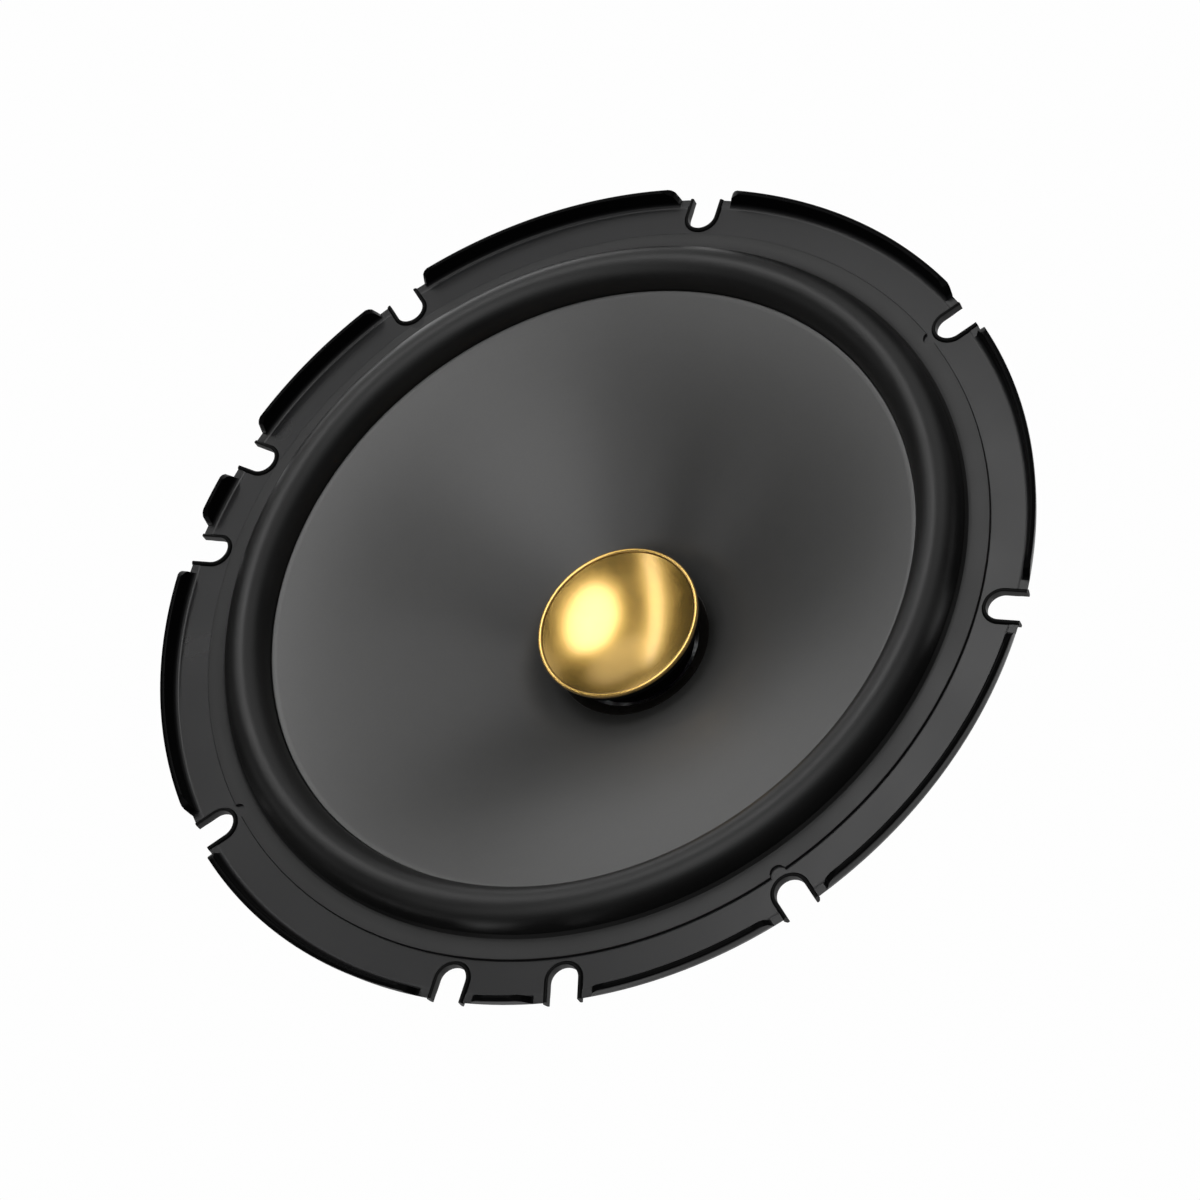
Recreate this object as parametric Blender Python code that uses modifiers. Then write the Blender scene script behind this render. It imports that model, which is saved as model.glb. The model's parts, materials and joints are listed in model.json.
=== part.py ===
"""Coaxial car loudspeaker, 165 mm class, lying on its magnet with the cone facing up.

Origin: centre of the rear face of the yoke. +Z runs along the loudspeaker's axis to the front,
+X points at one of the ten open screw slots. Dimensions below are in millimetres.
"""
import math

import bmesh
import bpy
from mathutils import Matrix, Vector

MM = 0.001

# Magnet system
GLUE_GAP = 0.3
YOKE_RADIUS = 38.5
YOKE_THICKNESS = 4.5
POLE_RADIUS = 12.0
POLE_SETBACK = 0.2
MAGNET_RADIUS = 40.0
MAGNET_BORE_RADIUS = 20.0
TOP_PLATE_BOTTOM = 17.5
TOP_PLATE_TOP = 22.0
TOP_PLATE_BORE_RADIUS = 14.3
POST_BORE_RADIUS = 3.0
NUT_RECESS_RADIUS = 7.0
NUT_RECESS_DEPTH = 5.5
WIRE_GROOVE_WIDTH = 3.2
WIRE_GROOVE_DEPTH = 2.2

# Basket: one steel stamping
SHEET = 1.2
FLANGE_FRONT = 57.2
FLANGE_INNER_RADIUS = 68.2
LIP_TOP = 59.9
LIP_TOP_RADIUS = 81.9
LIP_ROOT_RADIUS = 81.2
WALL_FOOT = (66.2, 46.6)
LEDGE_OUTER_RADIUS = 48.6
LEDGE_INNER_RADIUS = 38.4
LEDGE_HEIGHT = 28.6
FLOOR_OUTER_RADIUS = 35.4
FLOOR_INNER_RADIUS = 16.6
FLOOR_HEIGHT = TOP_PLATE_TOP + GLUE_GAP + SHEET / 2
WINDOW_BOTTOM = 29.6
WINDOW_TOP = 45.0
WINDOW_HALF_ANGLE = 32.0

# Ten open screw slots on one pitch circle
SLOT_ANGLES = (0, 45, 90, 120, 135, 180, 225, 240, 270, 315)
SLOT_WIDTH = 5.4
SLOT_PITCH_RADIUS = 78.1
LIP_GAP_ROOT_ANGLE = 3.6
LIP_GAP_TOP_ANGLE = 4.4

# Cone and surround
CONE_SHEET = 0.7
CONE_NECK = (13.2, 31.8)
CONE_EDGE = (60.8, 57.7)
CONE_STRAIGHTNESS = 0.55
SURROUND_SHEET = 0.5
SURROUND_RADIUS = 74.0
ROLL_CENTRE_RADIUS = 65.55
ROLL_HALF_WIDTH = 4.1
ROLL_CREST = 62.9
SURROUND_LANDING_HEIGHT = FLANGE_FRONT + GLUE_GAP + SURROUND_SHEET / 2
SURROUND_INNER_RADIUS = 58.4
RELIEF_RADIUS = 1.3

# Voice coil and spider
FORMER_INNER_RADIUS = 12.6
FORMER_OUTER_RADIUS = 12.9
FORMER_BOTTOM = 13.3
FORMER_TOP = 32.4
COIL_OUTER_RADIUS = 13.7
COIL_LENGTH = 12.0
SPIDER_HEIGHT = 29.85
SPIDER_SHEET = 0.5
SPIDER_WAVES = 4
SPIDER_WAVE_HEIGHT = 0.9
SPIDER_INNER_RADIUS = 13.2
SPIDER_WAVE_START = 16.0
SPIDER_WAVE_END = 38.0
SPIDER_OUTER_RADIUS = 42.2

# Tweeter
BEZEL_FRONT = FLANGE_FRONT - 15.9
BEZEL_HEIGHT = 0.85
BEZEL_RADIUS = 15.5
DISH_RADIUS = 14.4
DISH_RIM_HEIGHT = 40.9
DISH_DEPTH = 2.0
DISH_SHEET = 0.25
CUP_RADIUS = 15.2
CUP_BOTTOM = 38.3
CUP_WALL_TOP = 39.65
CUP_WALL = 1.6
CUP_FLOOR = 0.8
BOSS_RADIUS = 11.5
BOSS_BOTTOM = 31.5
BOSS_WALL = 1.4
BOSS_FLOOR = 1.0
WIRE_PORT_RADIUS = 1.6
FILM_INNER_RADIUS = 13.3
FILM_OUTER_RADIUS = 15.0
FILM_SHEET = 0.2
POT_RADIUS = 9.6
POT_INNER_RADIUS = 7.8
POT_BOTTOM = 32.8
POT_FLOOR = 33.8
POT_TOP = 38.0
SMALL_MAGNET_RADIUS = 5.5
SMALL_MAGNET_BOTTOM = 34.1
SMALL_MAGNET_TOP = 36.6
SMALL_PLATE_RADIUS = 6.0
SMALL_PLATE_BOTTOM = 36.9
SMALL_PLATE_TOP = 38.1
SMALL_COIL_INNER_RADIUS = 6.6
SMALL_COIL_OUTER_RADIUS = 7.2
SMALL_COIL_BOTTOM = 36.6
SMALL_COIL_TOP = 38.75
POST_RADIUS = 2.6
POST_BORE = 1.3
POST_BOTTOM = 2.4
POST_SEAT_RADIUS = 6.0
POST_SEAT_HEIGHT = 1.0
NUT_CORNER_RADIUS = 4.6
NUT_BOTTOM = 2.9
WIRE_DIAMETER = 0.8

# Terminals, on the +Y side
BOARD_TOP = 27.7
BOARD_THICKNESS = 1.8
BOARD_WIDTH = 26.0
BOARD_INNER = 39.6
BOARD_OUTER = 57.0
BOARD_RIVET_X = 9.0
BOARD_RIVET_Y = 44.6
BOARD_RIVET_RADIUS = 1.3
BOARD_RIVET_HOLE_RADIUS = 1.7
BOARD_RIVET_HEAD_RADIUS = 2.2
BLADE_THICKNESS = 0.8
BLADE_SPACING = 6.5
BLADE_INNER = 49.8
BLADE_OUTER = 65.0
BLADE_TAPER = 1.0
BLADE_HOLE_SETBACK = 3.6
POSITIVE_BLADE_WIDTH = 4.8
NEGATIVE_BLADE_WIDTH = 2.8
CAPACITOR_RADIUS = 3.9
CAPACITOR_LENGTH = 13.0
CAPACITOR_CENTRE = (0.0, 50.0, 21.3)
LEAD_DIAMETER = 1.0
EYELET_CIRCLE = 24.0
EYELET_RADIUS = 1.6
EYELET_THICKNESS = 0.8
EYELET_BEARING = 14.0

# Rivets that hold the basket to the top plate
BASKET_RIVET_CIRCLE = 26.0
BASKET_RIVET_RADIUS = 2.0
BASKET_RIVET_HOLE_RADIUS = 2.4
BASKET_RIVET_HEAD_RADIUS = 3.2
BASKET_RIVET_HEAD_HEIGHT = 1.0
BASKET_RIVET_FOOT = 19.3

# How finely round pieces are divided
BASKET_STEPS = 60
CONE_STEPS = 56
ROLL_STEPS = 7
SPIDER_STEPS = 32
MOTOR_STEPS = 32
TWEETER_STEPS = 28
POST_STEPS = 24
RIVET_STEPS = 10


# ---------------------------------------------------------------- scene and materials

def clear_scene():
    for old in list(bpy.data.objects):
        bpy.data.objects.remove(old, do_unlink=True)


def new_collection(name):
    made = bpy.data.collections.new(name)
    bpy.context.scene.collection.children.link(made)
    return made


def make_material(name, color, roughness, metallic=0.0):
    made = bpy.data.materials.new(name)
    made.use_nodes = True
    shader = made.node_tree.nodes["Principled BSDF"]
    shader.inputs["Base Color"].default_value = (*color, 1.0)
    shader.inputs["Roughness"].default_value = roughness
    shader.inputs["Metallic"].default_value = metallic
    made.diffuse_color = (*color, 1.0)
    return made


def finish_piece(piece, material, collection, sharp_angle=35.0):
    """Give a piece its one material, its collection and smooth shading."""
    for owner in list(piece.users_collection):
        owner.objects.unlink(piece)
    collection.objects.link(piece)
    piece.data.materials.clear()
    piece.data.materials.append(material)
    if piece.type == "MESH":
        piece.data.shade_smooth()
        piece.data.set_sharp_from_angle(angle=math.radians(sharp_angle))
    return piece


# ---------------------------------------------------------------- profiles, as (radius, height) in mm

def ring_profile(inner, outer, bottom, top):
    return [(outer, top), (outer, bottom), (inner, bottom), (inner, top)]


def disc_profile(radius, bottom, top):
    """An open profile whose two ends lie on the axis."""
    return [(0.0, top), (radius, top), (radius, bottom), (0.0, bottom)]


def rounded_line(corners, radius, steps):
    """The open line through corners, with each inner corner cut back by radius and curved."""
    points = [Vector(corners[0])]
    for before, corner, after in zip(corners, corners[1:], corners[2:]):
        corner = Vector(corner)
        start = corner + (Vector(before) - corner).normalized() * radius
        end = corner + (Vector(after) - corner).normalized() * radius
        for step in range(steps + 1):
            t = step / steps
            points.append(start * (1 - t) ** 2 + corner * 2 * t * (1 - t) + end * t ** 2)
    points.append(Vector(corners[-1]))
    return points


def sheet_profile(line, thickness):
    """The closed outline of a sheet whose middle is an open line that runs from its outer end inwards."""
    line = [Vector(point) for point in line]
    upper, lower = [], []
    for index, point in enumerate(line):
        before = line[max(index - 1, 0)]
        after = line[min(index + 1, len(line) - 1)]
        into = (point - before).normalized() if index else (after - point).normalized()
        out = (after - point).normalized() if index < len(line) - 1 else into
        normal = Vector((-(into + out).y, (into + out).x)).normalized()
        mitre = 1.0 / max(normal.dot(Vector((-into.y, into.x))), 0.5)
        upper.append(point - normal * mitre * thickness / 2)
        lower.append(point + normal * mitre * thickness / 2)
    loop = [tuple(point) for point in upper + lower[::-1]]
    area = sum(a[0] * b[1] - b[0] * a[1] for a, b in zip(loop, loop[1:] + loop[:1]))
    return loop if area < 0 else loop[::-1]


def cone_front(radius):
    """Height of the cone's front surface: steeper at the neck than at the edge."""
    t = (radius - CONE_NECK[0]) / (CONE_EDGE[0] - CONE_NECK[0])
    curve = CONE_STRAIGHTNESS * t + (1 - CONE_STRAIGHTNESS) * (1 - (1 - t) ** 2)
    return CONE_NECK[1] + (CONE_EDGE[1] - CONE_NECK[1]) * curve


def cone_normal(radius):
    """Unit normal (radial, axial) of the cone's front surface."""
    step = 0.1
    slope = (cone_front(radius + step) - cone_front(radius - step)) / (2 * step)
    return Vector((-slope, 1.0)).normalized()


# ---------------------------------------------------------------- shapes

def turned(name, profile, steps, material, collection, closed=True):
    """A solid of revolution about Z. The profile runs down its outer side."""
    mesh = bpy.data.meshes.new(name)
    points = [(radius * MM, 0.0, height * MM) for radius, height in profile]
    edges = [(index, index + 1) for index in range(len(points) - 1)]
    if closed:
        edges.append((len(points) - 1, 0))
    mesh.from_pydata(points, edges, [])
    piece = bpy.data.objects.new(name, mesh)
    finish_piece(piece, material, collection)
    screw = piece.modifiers.new("turn", "SCREW")
    screw.axis = "Z"
    screw.angle = math.tau
    screw.steps = steps
    screw.render_steps = steps
    screw.use_merge_vertices = True
    screw.merge_threshold = 0.00001
    screw.use_smooth_shade = True
    return piece


def outline_solid(name, outline, bottom, top, material, collection):
    """A flat outline in XY, made thick between two heights, as a welded mesh."""
    curve = bpy.data.curves.new(name, "CURVE")
    curve.dimensions = "2D"
    curve.fill_mode = "BOTH"
    curve.extrude = (top - bottom) / 2 * MM
    spline = curve.splines.new("POLY")
    spline.points.add(len(outline) - 1)
    for point, (x, y) in zip(spline.points, outline):
        point.co = (x * MM, y * MM, 0.0, 1.0)
    spline.use_cyclic_u = True
    guide = bpy.data.objects.new(name + "_outline", curve)
    guide.location.z = (top + bottom) / 2 * MM
    collection.objects.link(guide)
    bpy.context.view_layer.update()
    flat = guide.evaluated_get(bpy.context.evaluated_depsgraph_get())
    mesh = bpy.data.meshes.new_from_object(flat)
    mesh.name = name
    shape = bmesh.new()
    shape.from_mesh(mesh)
    bmesh.ops.remove_doubles(shape, verts=shape.verts, dist=0.000001)
    bmesh.ops.recalc_face_normals(shape, faces=shape.faces)
    shape.to_mesh(mesh)
    shape.free()
    piece = bpy.data.objects.new(name, mesh)
    piece.matrix_world = guide.matrix_world.copy()
    bpy.data.objects.remove(guide, do_unlink=True)
    return finish_piece(piece, material, collection)


def cylinder(name, radius, length, centre, axis, steps, material, collection):
    """A primitive cylinder whose axis is a direction."""
    bpy.ops.mesh.primitive_cylinder_add(vertices=steps, radius=radius * MM, depth=length * MM)
    piece = bpy.context.object
    piece.name = name
    piece.data.name = name
    piece.location = Vector(centre) * MM
    piece.rotation_euler = Vector(axis).to_track_quat("Z", "Y").to_euler()
    return finish_piece(piece, material, collection)


def box(name, low, high, material, collection):
    """A primitive cube between two corners."""
    low, high = Vector(low), Vector(high)
    bpy.ops.mesh.primitive_cube_add(size=MM)
    piece = bpy.context.object
    piece.name = name
    piece.data.name = name
    size = high - low
    piece.data.transform(Matrix.Diagonal((*size, 1.0)))
    piece.location = (low + high) / 2 * MM
    return finish_piece(piece, material, collection)


def wire(name, guides, diameter, count, material, collection):
    """A round wire along a smooth curve through its guide points."""
    path = smooth_path([Vector(point) for point in guides], count)
    curve = bpy.data.curves.new(name, "CURVE")
    curve.dimensions = "3D"
    curve.bevel_depth = diameter / 2 * MM
    curve.bevel_resolution = 2
    curve.use_fill_caps = True
    spline = curve.splines.new("POLY")
    spline.points.add(len(path) - 1)
    for point, place in zip(spline.points, path):
        point.co = (*(place * MM), 1.0)
    piece = bpy.data.objects.new(name, curve)
    return finish_piece(piece, material, collection)


def smooth_path(guides, count):
    """Points on a centripetal Catmull-Rom curve through the guides."""
    ends = [guides[0] * 2 - guides[1]] + guides + [guides[-1] * 2 - guides[-2]]
    path = []
    for index in range(count):
        along = index / (count - 1) * (len(guides) - 1)
        span = min(int(along), len(guides) - 2)
        path.append(centripetal_point(ends[span:span + 4], along - span))
    return path


def centripetal_point(four, t):
    knots = [0.0]
    for a, b in zip(four, four[1:]):
        knots.append(knots[-1] + (b - a).length ** 0.5)
    place = knots[1] + (knots[2] - knots[1]) * t
    row = list(four)
    for level in (1, 2, 3):
        for index in range(4 - level):
            low = knots[max(index, 1 if level == 3 else index)]
            high = knots[min(index + level, 2 if level == 3 else index + level)]
            share = (place - low) / (high - low)
            row[index] = row[index] * (1 - share) + row[index + 1] * share
    return row[0]


def make_cutter(piece):
    piece.hide_render = True
    piece.display_type = "WIRE"
    return piece


def cut_with(piece, cutters, name="cut"):
    """Subtract every object of a cutter collection from a piece."""
    boolean = piece.modifiers.new(name, "BOOLEAN")
    boolean.operation = "DIFFERENCE"
    boolean.solver = "EXACT"
    boolean.operand_type = "COLLECTION"
    boolean.collection = cutters


def round_corner_outline(corners, radius, steps=3):
    """A closed outline through corners, each one rounded."""
    points = []
    for index, corner in enumerate(corners):
        corner = Vector(corner)
        before = Vector(corners[index - 1])
        after = Vector(corners[(index + 1) % len(corners)])
        start = corner + (before - corner).normalized() * radius
        end = corner + (after - corner).normalized() * radius
        for step in range(steps + 1):
            t = step / steps
            points.append(tuple(start * (1 - t) ** 2 + corner * 2 * t * (1 - t) + end * t ** 2))
    return points


def on_circle(radius, degrees):
    return radius * math.cos(math.radians(degrees)), radius * math.sin(math.radians(degrees))


# ---------------------------------------------------------------- basket

def basket_line():
    corners = [
        (LIP_TOP_RADIUS, LIP_TOP),
        (LIP_ROOT_RADIUS, FLANGE_FRONT - SHEET / 2),
        (FLANGE_INNER_RADIUS, FLANGE_FRONT - SHEET / 2),
        WALL_FOOT,
        (LEDGE_OUTER_RADIUS, LEDGE_HEIGHT),
        (LEDGE_INNER_RADIUS, LEDGE_HEIGHT),
        (FLOOR_OUTER_RADIUS, FLOOR_HEIGHT),
        (FLOOR_INNER_RADIUS, FLOOR_HEIGHT),
    ]
    return rounded_line(corners, 1.0, 1)


def slot_cutter(angle, material, cutters):
    """A U-shaped cutter that is open outwards, with its round end towards the axis."""
    half = SLOT_WIDTH / 2
    outline = [(SLOT_PITCH_RADIUS + 10.0, -half), (SLOT_PITCH_RADIUS + 10.0, half)]
    for step in range(9):
        x, y = on_circle(half, 90 + step * 180 / 8)
        outline.append((SLOT_PITCH_RADIUS + x, y))
    name = f"slot_cutter_{angle}"
    piece = outline_solid(name, outline, FLANGE_FRONT - 4, LIP_TOP + 2, material, cutters)
    piece.rotation_euler.z = math.radians(angle)
    make_cutter(piece)


def lip_gap_cutter(angle, material, cutters):
    """A wedge, wider at its top, that ends the turned-up edge on both sides of a slot."""
    floor, ceiling = FLANGE_FRONT + 0.15, LIP_TOP + 0.6
    inner, outer = LIP_ROOT_RADIUS - 3.0, LIP_TOP_RADIUS + 3.0
    piece = box(f"lip_gap_cutter_{angle}", (inner, -0.5, floor), (outer, 0.5, ceiling), material, cutters)
    for vertex in piece.data.vertices:
        spread = LIP_GAP_TOP_ANGLE if vertex.co.z > 0 else LIP_GAP_ROOT_ANGLE
        side = 1.0 if vertex.co.y > 0 else -1.0
        vertex.co.y = side * LIP_TOP_RADIUS * math.tan(math.radians(spread)) * MM
    turn = Matrix.Rotation(math.radians(angle), 4, "Z")
    piece.matrix_world = turn @ Matrix.Translation(piece.location)
    make_cutter(piece)


def window_cutter(angle, material, cutters):
    """A sector-shaped block that opens the sloping wall between two spokes."""
    inner, outer, steps = LEDGE_OUTER_RADIUS - 1.5, WALL_FOOT[0] + 3.0, 6
    sweep = [angle + WINDOW_HALF_ANGLE * (2 * step / steps - 1) for step in range(steps + 1)]
    outline = [on_circle(inner, degrees) for degrees in sweep]
    outline += [on_circle(outer, degrees) for degrees in reversed(sweep)]
    name = f"window_cutter_{angle}"
    make_cutter(outline_solid(name, outline, WINDOW_BOTTOM, WINDOW_TOP, material, cutters))


def hole_cutter(name, radius, x, y, bottom, top, material, cutters):
    centre = (x, y, (bottom + top) / 2)
    make_cutter(cylinder(name, radius, top - bottom, centre, (0, 0, 1), RIVET_STEPS, material, cutters))


def basket_rivet_places():
    return [on_circle(BASKET_RIVET_CIRCLE, 45 + 90 * index) for index in range(4)]


def make_basket(paint, parts, cutters):
    profile = sheet_profile(basket_line(), SHEET)
    basket = turned("basket", profile, BASKET_STEPS, paint, parts)
    for angle in SLOT_ANGLES:
        slot_cutter(angle, paint, cutters["basket"])
        lip_gap_cutter(angle, paint, cutters["lip"])
    for angle in (0, 90, 180, 270):
        window_cutter(angle, paint, cutters["basket"])
    for index, (x, y) in enumerate(basket_rivet_places()):
        hole_cutter(f"floor_hole_{index}", BASKET_RIVET_HOLE_RADIUS, x, y, 21.0, 25.0,
                    paint, cutters["basket"])
    for side in (-1, 1):
        x = side * BOARD_RIVET_X
        hole_cutter(f"ledge_hole_{side}", BOARD_RIVET_HOLE_RADIUS, x, BOARD_RIVET_Y, 27.0, 30.5,
                    paint, cutters["basket"])
    cut_with(basket, cutters["lip"], "lip gaps")
    cut_with(basket, cutters["basket"], "slots, windows and holes")
    return basket


# ---------------------------------------------------------------- magnet system

def make_motor(steel, ferrite, parts, cutters):
    yoke_profile = [
        (POLE_RADIUS, TOP_PLATE_TOP - POLE_SETBACK),
        (POLE_RADIUS, YOKE_THICKNESS),
        (YOKE_RADIUS, YOKE_THICKNESS),
        (YOKE_RADIUS, 0.0),
        (NUT_RECESS_RADIUS, 0.0),
        (NUT_RECESS_RADIUS, NUT_RECESS_DEPTH),
        (POST_BORE_RADIUS, NUT_RECESS_DEPTH),
        (POST_BORE_RADIUS, TOP_PLATE_TOP - POLE_SETBACK),
    ]
    yoke = turned("yoke", yoke_profile, MOTOR_STEPS, steel, parts)
    half = WIRE_GROOVE_WIDTH / 2
    low, high = (-half, NUT_RECESS_RADIUS - 2.0, -1.0), (half, YOKE_RADIUS + 3.0, WIRE_GROOVE_DEPTH)
    make_cutter(box("groove_cutter", low, high, steel, cutters["yoke"]))
    cut_with(yoke, cutters["yoke"], "wire groove")

    bottom, top = YOKE_THICKNESS + GLUE_GAP, TOP_PLATE_BOTTOM - GLUE_GAP
    magnet_profile = ring_profile(MAGNET_BORE_RADIUS, MAGNET_RADIUS, bottom, top)
    turned("magnet", magnet_profile, MOTOR_STEPS, ferrite, parts)

    plate_profile = ring_profile(TOP_PLATE_BORE_RADIUS, YOKE_RADIUS, TOP_PLATE_BOTTOM, TOP_PLATE_TOP)
    plate = turned("top_plate", plate_profile, MOTOR_STEPS, steel, parts)
    for index, (x, y) in enumerate(basket_rivet_places()):
        hole_cutter(f"plate_hole_{index}", BASKET_RIVET_HOLE_RADIUS, x, y, 19.0, 24.0,
                    steel, cutters["top_plate"])
    cut_with(plate, cutters["top_plate"], "rivet holes")


def make_basket_rivets(steel, parts):
    head_bottom = FLOOR_HEIGHT + SHEET / 2 + GLUE_GAP
    head_top = head_bottom + BASKET_RIVET_HEAD_HEIGHT
    profile = [
        (0.0, head_top),
        (BASKET_RIVET_HEAD_RADIUS - 0.8, head_top),
        (BASKET_RIVET_HEAD_RADIUS, head_top - 0.6),
        (BASKET_RIVET_HEAD_RADIUS, head_bottom),
        (BASKET_RIVET_RADIUS, head_bottom),
        (BASKET_RIVET_RADIUS, BASKET_RIVET_FOOT),
        (0.0, BASKET_RIVET_FOOT),
    ]
    for index, (x, y) in enumerate(basket_rivet_places()):
        rivet = turned(f"basket_rivet_{index + 1}", profile, RIVET_STEPS, steel, parts, closed=False)
        rivet.location = (x * MM, y * MM, 0.0)


# ---------------------------------------------------------------- cone assembly

def make_cone(paper, parts):
    steps = 6
    line = []
    for step in range(steps + 1):
        radius = CONE_EDGE[0] + (CONE_NECK[0] - CONE_EDGE[0]) * step / steps
        line.append(Vector((radius, cone_front(radius))) - cone_normal(radius) * CONE_SHEET / 2)
    line[-1].x = CONE_NECK[0]
    profile = sheet_profile(line, CONE_SHEET)
    floor = CONE_NECK[0]
    profile = [(max(radius, floor), height) for radius, height in profile]
    return turned("cone", profile, CONE_STEPS, paper, parts)


def make_surround(rubber, parts, cutters):
    """Flat bonding ring, half roll, and a landing bonded behind the cone's edge."""
    height = ROLL_CREST - SURROUND_LANDING_HEIGHT - SURROUND_SHEET / 2
    line = [(SURROUND_RADIUS, SURROUND_LANDING_HEIGHT)]
    for step in range(ROLL_STEPS + 1):
        x, z = on_circle(1.0, 180 * step / ROLL_STEPS)
        line.append((ROLL_CENTRE_RADIUS + ROLL_HALF_WIDTH * x, SURROUND_LANDING_HEIGHT + height * z))
    below_cone = CONE_SHEET + GLUE_GAP + SURROUND_SHEET / 2 + 0.1
    foot = ROLL_CENTRE_RADIUS - ROLL_HALF_WIDTH
    line.append((foot, cone_front(CONE_EDGE[0]) - below_cone))
    line.append((SURROUND_INNER_RADIUS, cone_front(SURROUND_INNER_RADIUS) - below_cone))
    surround = turned("surround", sheet_profile(line, SURROUND_SHEET), CONE_STEPS, rubber, parts)
    for angle in (0, 90, 180, 270):
        x, y = on_circle(SURROUND_RADIUS + 0.2, angle)
        low, high = FLANGE_FRONT - 1.0, FLANGE_FRONT + 3.0
        hole_cutter(f"relief_{angle}", RELIEF_RADIUS, x, y, low, high, rubber, cutters["surround"])
    cut_with(surround, cutters["surround"], "slot reliefs")
    return surround


def make_spider(cloth, parts):
    """Corrugated disc from the ledge of the basket to the voice coil former."""
    line = [(SPIDER_OUTER_RADIUS, SPIDER_HEIGHT), (SPIDER_WAVE_END, SPIDER_HEIGHT)]
    halves = SPIDER_WAVES * 2
    for index in range(halves):
        share = (index + 0.5) / halves
        radius = SPIDER_WAVE_END + (SPIDER_WAVE_START - SPIDER_WAVE_END) * share
        wave = SPIDER_WAVE_HEIGHT if index % 2 == 0 else -SPIDER_WAVE_HEIGHT
        line.append((radius, SPIDER_HEIGHT + wave))
    line += [(SPIDER_WAVE_START, SPIDER_HEIGHT), (SPIDER_INNER_RADIUS, SPIDER_HEIGHT)]
    return turned("spider", sheet_profile(line, SPIDER_SHEET), SPIDER_STEPS, cloth, parts)


def make_voice_coil(film, copper, parts):
    former_profile = ring_profile(FORMER_INNER_RADIUS, FORMER_OUTER_RADIUS, FORMER_BOTTOM, FORMER_TOP)
    former = turned("voice_coil_former", former_profile, MOTOR_STEPS, film, parts)
    middle = (TOP_PLATE_BOTTOM + TOP_PLATE_TOP) / 2
    bottom, top = middle - COIL_LENGTH / 2, middle + COIL_LENGTH / 2
    coil_profile = ring_profile(FORMER_OUTER_RADIUS + GLUE_GAP, COIL_OUTER_RADIUS, bottom, top)
    coil = turned("voice_coil", coil_profile, MOTOR_STEPS, copper, parts)
    return [former, coil]


def eyelet_frame(side):
    """Point on the cone's front at an eyelet, and the outward normal there, both in mm."""
    angle = 90 - side * EYELET_BEARING
    normal = cone_normal(EYELET_CIRCLE)
    x, y = on_circle(1.0, angle)
    place = Vector((x * EYELET_CIRCLE, y * EYELET_CIRCLE, cone_front(EYELET_CIRCLE)))
    return place, Vector((x * normal.x, y * normal.x, normal.y))


def make_eyelets(brass, parts):
    eyelets = []
    for side, name in ((1, "lead_eyelet_positive"), (-1, "lead_eyelet_negative")):
        place, normal = eyelet_frame(side)
        centre = place - normal * (CONE_SHEET + GLUE_GAP + EYELET_THICKNESS / 2)
        eyelet = cylinder(name, EYELET_RADIUS, EYELET_THICKNESS, centre, normal, RIVET_STEPS, brass, parts)
        eyelets.append(eyelet)
    return eyelets


# ---------------------------------------------------------------- tweeter

def dish_height(radius):
    return DISH_RIM_HEIGHT - DISH_DEPTH * (1 - (radius / DISH_RADIUS) ** 2)


def make_tweeter_diaphragm(gold, copper, parts):
    steps = 4
    radii = [DISH_RADIUS * (1 - step / steps) for step in range(steps + 1)]
    profile = [(radius, dish_height(radius)) for radius in reversed(radii)]
    profile += [(radius, dish_height(radius) - DISH_SHEET) for radius in radii]
    diaphragm = turned("tweeter_diaphragm", profile, TWEETER_STEPS, gold, parts, closed=False)
    coil_profile = ring_profile(SMALL_COIL_INNER_RADIUS, SMALL_COIL_OUTER_RADIUS,
                                SMALL_COIL_BOTTOM, SMALL_COIL_TOP)
    coil = turned("tweeter_voice_coil", coil_profile, TWEETER_STEPS, copper, parts)
    return [diaphragm, coil]


def make_tweeter_motor(steel, neodymium, parts):
    pot_profile = [
        (0.0, POT_FLOOR),
        (POT_INNER_RADIUS, POT_FLOOR),
        (POT_INNER_RADIUS, POT_TOP),
        (POT_RADIUS, POT_TOP),
        (POT_RADIUS, POT_BOTTOM),
        (0.0, POT_BOTTOM),
    ]
    turned("tweeter_pot", pot_profile, TWEETER_STEPS, steel, parts, closed=False)
    magnet_profile = disc_profile(SMALL_MAGNET_RADIUS, SMALL_MAGNET_BOTTOM, SMALL_MAGNET_TOP)
    turned("tweeter_magnet", magnet_profile, TWEETER_STEPS, neodymium, parts, closed=False)
    plate_profile = disc_profile(SMALL_PLATE_RADIUS, SMALL_PLATE_BOTTOM, SMALL_PLATE_TOP)
    turned("tweeter_plate", plate_profile, TWEETER_STEPS, steel, parts, closed=False)


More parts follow.
